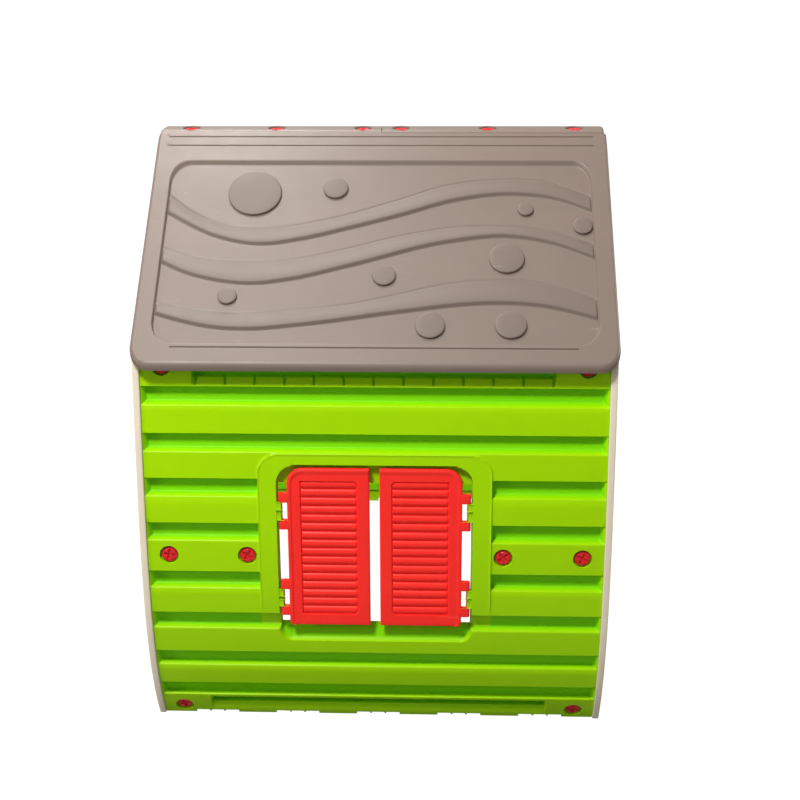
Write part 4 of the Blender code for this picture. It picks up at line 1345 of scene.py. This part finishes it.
@dataclass(frozen=True)
class Gable:
    """A beige end wall, built at +X: a raised rim, a boarded field and a framed opening."""

    name: str
    opening_half: float
    opening_low: float
    opening_high: float
    opening_radius: float
    face: float = 0.4466
    rim: float = 0.013
    frame_wide: float = 0.024
    peak_clear: float = 0.0135
    flange_back: float = 0.0225
    flange_thick: float = 0.004
    flange_in: float = 0.365
    tongue_in: float = 0.215
    board_lines: tuple[float, ...] = (
        0.093, 0.176, 0.266, 0.354, 0.452, 0.539, 0.6245, 0.712, 0.800, 0.885, 0.970,
    )

    def half_width(self, z: np.ndarray) -> np.ndarray:
        """Half the gable's width at a height."""
        drop = 0.003 / math.cos(SHAPE.tilt) + 0.001
        under = SHAPE.land + (SHAPE.ridge_z - drop - z) / SHAPE.slope
        return np.minimum(SHAPE.half_depth(z) - 0.0005, under)

    @property
    def peak(self) -> float:
        """The top of the gable."""
        return SHAPE.ridge_z - self.peak_clear

    def outline(self) -> np.ndarray:
        """The gable's outline, anticlockwise as (y, z)."""
        above = np.linspace(SHAPE.wall_top, self.peak, 20)[1:]
        heights = np.concatenate([np.linspace(0.0, SHAPE.wall_top, 40), above])
        right = np.column_stack([self.half_width(heights), heights])
        return np.vstack([right, right[::-1] * (-1, 1)])

    def opening(self, grow: float = 0.0) -> np.ndarray:
        """The opening's outline, anticlockwise as (y, z)."""
        half, low, high = self.opening_half + grow, self.opening_low - grow, self.opening_high + grow
        radius, small = self.opening_radius + grow, 0.010 + grow
        low = max(low, 0.0005)
        return rounded([(-half, low, small), (half, low, small), (half, high, radius), (-half, high, radius)], 14)

    def board(self, z: np.ndarray) -> np.ndarray:
        """Depth of the V-shaped lines between the boards."""
        depth = np.zeros_like(z)
        for line in self.board_lines:
            depth += 0.0026 * smoothstep((0.0032 - np.abs(z - line)) / 0.0030)
        return depth

    def sheet(self) -> Solid:
        """The boarded field."""
        lines = [v + o for v in self.board_lines for o in (-0.003, -0.0015, 0.0, 0.0015, 0.003)]
        zs = grid_lines(0.004, self.peak - 0.004, 0.012, (), lines, (), 0.0014)
        half = self.half_width(zs)[:, None] - 0.006
        share = grid_lines(-1.0, 1.0, 0.022, (), (), (), 0.001)[None]
        y = half * share
        z = np.broadcast_to(zs[:, None], y.shape)
        x = self.face - 0.006 - self.board(z)
        front = np.stack([x, y, z], -1)
        back = np.stack([self.face - 0.0095 - 0 * x, y, z], -1)
        cy, cz = (y[:-1, :-1] + y[1:, 1:]) / 2, (z[:-1, :-1] + z[1:, 1:]) / 2
        grow = 0.012
        half_y, high = self.opening_half + grow, self.opening_high + grow
        inside = inside_top_rounded(cy, cz, half_y, self.opening_low - grow, high, self.opening_radius + grow)
        return closed_grid(front, back, inside <= 0)

    def rounded_section(self, wide: float, low: float, high: float, radius: float) -> np.ndarray:
        """A section from 0 to wide along u and from low to high along v, its corners rounded."""
        return rounded_box(0, low, wide, high, radius, 4)

    def drawn(self, path: np.ndarray, section: np.ndarray) -> Solid:
        """A section drawn round a closed path in the gable's plane: u goes in and v along +X."""
        inward = mitred(path, True)
        spots = np.column_stack([np.zeros(len(path)), path])
        across = np.column_stack([np.zeros(len(path)), inward])
        over = np.tile((1.0, 0.0, 0.0), (len(path), 1))
        return swept(section, spots, across, over, True)

    def flange(self, low: float, high: float, start: float, end: float) -> Solid:
        """A strip that follows the inside of the side wall, on the -Y side."""
        zs = np.linspace(low, high, max(3, round((high - low) / 0.02)))
        xs = np.array([start, start + 0.0015, (start + end) / 2, end])
        x, z = np.meshgrid(xs, zs)
        y = self.flange_back - SHAPE.half_depth(z)
        front = np.stack([x, y, z], -1)
        return closed_grid(front, front + (0.0, self.flange_thick, 0.0))

    def form(self) -> Form:
        """The gable with its frame and flanges."""
        form = Form().add(self.sheet())
        form.add(self.drawn(self.outline(), self.rounded_section(0.014, self.face - self.rim, self.face, 0.0022)))
        trim = self.rounded_section(self.frame_wide, self.face - self.rim + 0.0002, self.face - 0.0002, 0.0025)
        form.add(self.drawn(self.opening(self.frame_wide), trim))
        for mirror in (Matrix.Identity(4), MIRROR_Y):
            form.add(self.flange(0.0, SHAPE.wall_top - 0.004, self.flange_in, self.face - 0.007), mirror)
            form.add(self.flange(0.362, 0.414, self.tongue_in, self.flange_in + 0.01), mirror)
            for x, z in SideWall().screws:
                post = turned([(0, -0.042), (0.0085, -0.042), (0.0085, -0.019), (0, -0.019)], 24)
                form.add(post, mirror @ SHAPE.wall_frame(x, z))
        return form

    def door_fittings(self, door: "HalfDoor") -> Form:
        """The stop behind the door's latch side and the lugs on its hinge side."""
        form = Form()
        inner = self.face - self.rim
        stop = rounded_box(-self.opening_half - 0.012, 0.09, -self.opening_half + 0.010, 0.50, 0.002)
        form.add(slab(stop, inner - 0.0045, inner + 0.0005, 0.0008), UPRIGHT)
        for height in door.hinges:
            place = Matrix.Translation((door.axis_x, door.axis_y, height)) @ Matrix.Rotation(math.pi / 2, 4, "Z")
            reach = self.opening_half - door.axis_y + 0.002
            form.add(barrel(reach, -HINGE.lug_half, HINGE.lug_half, HINGE.radius), place)
        return form


@dataclass(frozen=True)
class HalfDoor:
    """The lower door leaf, built about its hinge axis with Z up from the ground."""

    axis_x: float = 0.44
    axis_y: float = 0.178
    start: float = 0.008
    width: float = 0.364
    low: float = 0.066
    high: float = 0.520
    thick: float = 0.011
    hinges: tuple[float, float] = (0.150, 0.430)
    boards: int = 4

    def relief(self, y: np.ndarray, z: np.ndarray) -> np.ndarray:
        """Depth of the leaf's face: rounded edges and a boarded panel under the grip."""
        edge = np.minimum(np.minimum(-self.start - y, y + self.width), np.minimum(z - self.low, self.high - z))
        over_y, over_z = -y - (self.width - 0.040), z - (self.high - 0.040)
        edge = np.where((over_y > 0) & (over_z > 0), 0.040 - np.hypot(over_y, over_z), edge)
        edge = np.maximum(edge, 0.0)
        radius = 0.0022
        fillet = radius - np.sqrt(radius**2 - np.clip(radius - edge, 0.0, radius) ** 2)
        left, right = -self.width + 0.035, -self.start - 0.035
        low, high = self.low + 0.035, 0.405
        panel = np.minimum(np.minimum(y - left, right - y), np.minimum(z - low, high - z))
        turn = (y - left) / (right - left) * self.boards
        line = 0.0022 * smoothstep((0.035 - np.abs(turn - np.round(turn))) / 0.035)
        return fillet + smoothstep(panel / 0.003) * (0.0030 + line)

    def edge_at(self, z: np.ndarray) -> np.ndarray:
        """Where the latch side is, with its rounded top corner."""
        up = np.clip(z - (self.high - 0.040), 0.0, 0.040)
        return -self.width + 0.040 - np.sqrt(0.040**2 - up**2)

    def build(self) -> bpy.types.Mesh:
        """The leaf's mesh."""
        arc = self.high - 0.040 + 0.040 * np.sin(np.linspace(0, math.pi / 2, 12))
        steps = (0.0003, 0.0009, 0.0018)
        ends = [self.low + d for d in steps] + [self.high - d for d in steps]
        bends = [(self.low + 0.0345, self.low + 0.0385, 0.0008), (0.4015, 0.4055, 0.0008)]
        zs = grid_lines(self.low, self.high, 0.012, (), [*arc, *ends], bends, 0.0006)
        insets = np.array([0.0, 0.0003, 0.0009, 0.0018, 0.004])
        first, last = self.edge_at(zs)[:, None], -self.start
        panel = self.width - self.start - 0.008
        bends = [(0.0305 / panel, 0.0355 / panel, 0.0026), (1 - 0.0355 / panel, 1 - 0.0305 / panel, 0.0026)]
        bends += [(0.31, 0.33, 0.004), (0.49, 0.51, 0.004), (0.67, 0.69, 0.004)]
        middle = grid_lines(0.0, 1.0, 0.04, (), (), bends, 0.004)
        y = np.concatenate(
            [first + insets[None, :-1], first + insets[-1] + middle[None] * (last - first - 2 * insets[-1]),
             np.broadcast_to(last - insets[::-1][None, 1:], (len(zs), len(insets) - 1))], 1,
        )
        z = np.broadcast_to(zs[:, None], y.shape)
        depth = self.relief(y, z)
        front = np.stack([self.thick / 2 - depth, y, z], -1)
        back = np.stack([-self.thick / 2 + depth, y, z], -1)
        leaf = Form().add(closed_grid(front, back)).build("draft_door", Finish.RED)
        grip = rounded_box(-self.width + 0.03, 0.435, -self.width + 0.12, 0.465, 0.0145)
        drill(leaf, Form().add(slab(grip, -0.02, 0.02), UPRIGHT))
        parts = Form()
        ring = rounded_box(0, -0.0062, 0.004, 0.0055, 0.0015, 3)
        outward = mitred(grip, True) * -1
        spots = np.column_stack([np.zeros(len(grip)), grip])
        across = np.column_stack([np.zeros(len(grip)), outward])
        parts.add(swept(ring * (1, 0.88), spots, across, np.tile((1.0, 0.0, 0.0), (len(grip), 1)), True))
        for span in HINGE.knuckles(self.hinges):
            parts.add(barrel(self.start + 0.004, *span, HINGE.radius), Matrix.Rotation(-math.pi / 2, 4, "Z"))
        return joined(leaf, parts)


# The studio.


@dataclass(frozen=True)
class Studio:
    """A pale floor, soft light and the camera."""

    spot: tuple[float, float, float] = (0.1272, -2.6605, 1.6679)
    yaw: float = -2.041
    pitch: float = 23.747
    roll: float = 0.402
    lens: float = 59.3
    sensor: float = 36.0

    def camera(self) -> None:
        """Puts the camera at its spot."""
        yaw, pitch, roll = (math.radians(v) for v in (self.yaw, self.pitch, self.roll))
        forward = Vector((math.sin(yaw) * math.cos(pitch), math.cos(yaw) * math.cos(pitch), -math.sin(pitch)))
        right = Vector((math.cos(yaw), -math.sin(yaw), 0.0))
        down = forward.cross(right)
        across = math.cos(roll) * right + math.sin(roll) * down
        below = -math.sin(roll) * right + math.cos(roll) * down
        data = bpy.data.cameras.new("camera")
        data.lens, data.sensor_width = self.lens, self.sensor
        data.clip_start, data.clip_end = 0.05, 60.0
        camera = bpy.data.objects.new("camera", data)
        turn = Matrix((across, -below, -forward)).transposed().to_4x4()
        camera.matrix_world = Matrix.Translation(self.spot) @ turn
        bpy.context.scene.collection.objects.link(camera)
        bpy.context.scene.camera = camera

    def lamp(self, name: str, spot: Sequence[float], aim: Sequence[float], size: float, power: float) -> None:
        """A square soft light that looks at a point."""
        data = bpy.data.lights.new(name, "AREA")
        data.size, data.energy = size, power
        lamp = bpy.data.objects.new(name, data)
        direction = Vector(aim) - Vector(spot)
        lamp.location = spot
        lamp.visible_camera = False
        lamp.rotation_euler = direction.to_track_quat("-Z", "Y").to_euler()
        bpy.context.scene.collection.objects.link(lamp)

    def floor(self) -> None:
        """A wide pale floor that is white wherever the camera sees it lit."""
        bm = bmesh.new()
        bmesh.ops.create_grid(bm, x_segments=1, y_segments=1, size=14.0)
        mesh = bpy.data.meshes.new("floor")
        bm.to_mesh(mesh)
        bm.free()
        floor = bpy.data.objects.new("floor", mesh)
        floor.location = (0.0, 0.0, -0.0005)
        bpy.context.scene.collection.objects.link(floor)
        shader = Shader(bpy.data.materials.new("pale_floor"))
        surface = shader.first("Principled BSDF")
        shader.feed(surface, {"Base Color": (0.27, 0.27, 0.27, 1.0), "Roughness": 0.9})
        glow = shader.add("ShaderNodeEmission", None, {"Color": WHITE, "Strength": 1.25})
        seen = shader.read("ShaderNodeLightPath", "Is Camera Ray") * 0.82
        mixed = shader.add("ShaderNodeMixShader", None, {0: seen, 1: surface.outputs[0], 2: glow.outputs[0]})
        shader.feed(shader.first("Material Output"), {"Surface": mixed.outputs[0]})
        mesh.materials.append(shader.owner)

    def build(self) -> None:
        """Sets up the whole studio."""
        self.floor()
        world = bpy.data.worlds.new("studio")
        bpy.context.scene.world = world
        shader = Shader(world)
        seen = shader.read("ShaderNodeLightPath", "Is Camera Ray")
        shader.feed(shader.first("Background"), {"Color": WHITE, "Strength": seen * 0.73 + 0.27})
        self.lamp("top", (-0.8, 0.40, 3.9), (0.0, -0.2, 0.8), 0.5, 84.0)
        self.lamp("right", (3.2, 0.7, 1.7), (0.4, 0.0, 0.5), 1.2, 60.0)
        self.lamp("back", (-0.8, 2.7, 3.7), (0.0, 0.3, 0.5), 1.0, 66.0)
        self.lamp("left", (-2.8, -1.65, 1.35), (0.0, -0.3, 0.9), 0.5, 16.0)
        self.lamp("inner", (0.0, -0.15, 0.62), (0.0, 0.45, 0.45), 0.3, 4.5)
        self.lamp("front", (-0.9, -1.8, 3.55), (0.0, -0.4, 0.4), 0.6, 124.0)
        self.camera()
        bpy.context.scene.view_settings.view_transform = "Standard"


# Assembly.


def build_walls() -> None:
    """Both side walls."""
    mesh = SideWall().build()
    for wall in Wall:
        obj = dressed(f"{wall.value}_wall_look", mesh, Finish.GREEN)
        place_piece(obj, HOUSE, f"{wall.value}_side_wall", wall.turn)


def build_shutters() -> None:
    """The four shutters."""
    form = Shutter().form()
    left = form.mesh("left_shutter")
    right = left.copy()
    right.transform(MIRROR_X)
    right.flip_normals()
    for side, mesh in ((Side.LEFT, left), (Side.RIGHT, right)):
        for wall in Wall:
            node = f"{wall.value}_{side.name.lower()}_shutter"
            obj = dressed(f"{node}_look", mesh, Finish.RED, 30.0)
            place_piece(obj, node, node, wall.turn @ HINGE.place(side))


def build_roof() -> None:
    """Both roof panels."""
    mesh = RoofPanel().build()
    for wall in Wall:
        obj = dressed(f"{wall.value}_roof_look", mesh, Finish.TAUPE)
        place_piece(obj, HOUSE, f"{wall.value}_roof_panel", wall.turn)


def build_gables() -> None:
    """The doorway gable, the window gable and the half door."""
    door = HalfDoor()
    front = Gable("front_gable_wall", 0.190, 0.060, 0.730, 0.120)
    form = front.form()
    fittings = front.door_fittings(door)
    form.add((np.concatenate(fittings.points), fittings.faces))
    place_piece(form.build("front_gable_look", Finish.BEIGE), HOUSE, front.name)
    back = Gable("back_gable_wall", 0.170, 0.400, 0.700, 0.050)
    obj = back.form().build("back_gable_look", Finish.BEIGE)
    place_piece(obj, HOUSE, back.name, HALF_TURN)
    leaf = dressed("half_door_look", door.build(), Finish.RED)
    place_piece(leaf, "half_door", "half_door", Matrix.Translation((door.axis_x, door.axis_y, 0.0)))


def build_screws() -> None:
    """All the screws, each turned its own way."""
    wall_screw, ridge_screw = Screw().mesh(0.046), Screw().mesh(0.030)
    turn = 0.35
    for wall in Wall:
        for side in Side:
            for spot, (x, z) in zip(("bottom", "middle", "jamb", "top"), SideWall().screws):
                node = f"{wall.value}_{spot}_{side.name.lower()}_screw"
                obj = dressed(f"{node}_look", wall_screw, Finish.SCREW, 30.0)
                spin = Matrix.Rotation(turn, 4, "Z")
                place = wall.turn @ SHAPE.wall_frame(side.value * x, z) @ spin
                place_piece(obj, HOUSE, node, place)
                turn += 1.1
    for number, x in enumerate(sorted(s * v for v in RoofPanel().ridge_screws for s in (-1, 1)), 1):
        node = f"ridge_screw_{number}"
        obj = dressed(f"{node}_look", ridge_screw, Finish.SCREW, 30.0)
        place = Matrix.Translation((x, 0.0, SHAPE.ridge_z)) @ Matrix.Rotation(turn, 4, "Z")
        place_piece(obj, HOUSE, node, place)
        turn += 1.1


def dress_pins() -> None:
    """Gives the CAD hinge pins their moulded finish."""
    for name, obj in frame["nodes"].items():
        if name.endswith("_pin"):
            for slot in obj.material_slots:
                slot.link = "OBJECT"
                slot.material = Finish.PIN.material()
            log.info("%s: new finish on %d slots", name, len(obj.material_slots))


def main() -> None:
    """Builds the whole scene."""
    logging.basicConfig(level=logging.INFO, format="%(name)s: %(message)s")
    build_walls()
    build_shutters()
    build_roof()
    build_gables()
    build_screws()
    dress_pins()
    Studio().build()


if __name__ == "__main__":
    main()
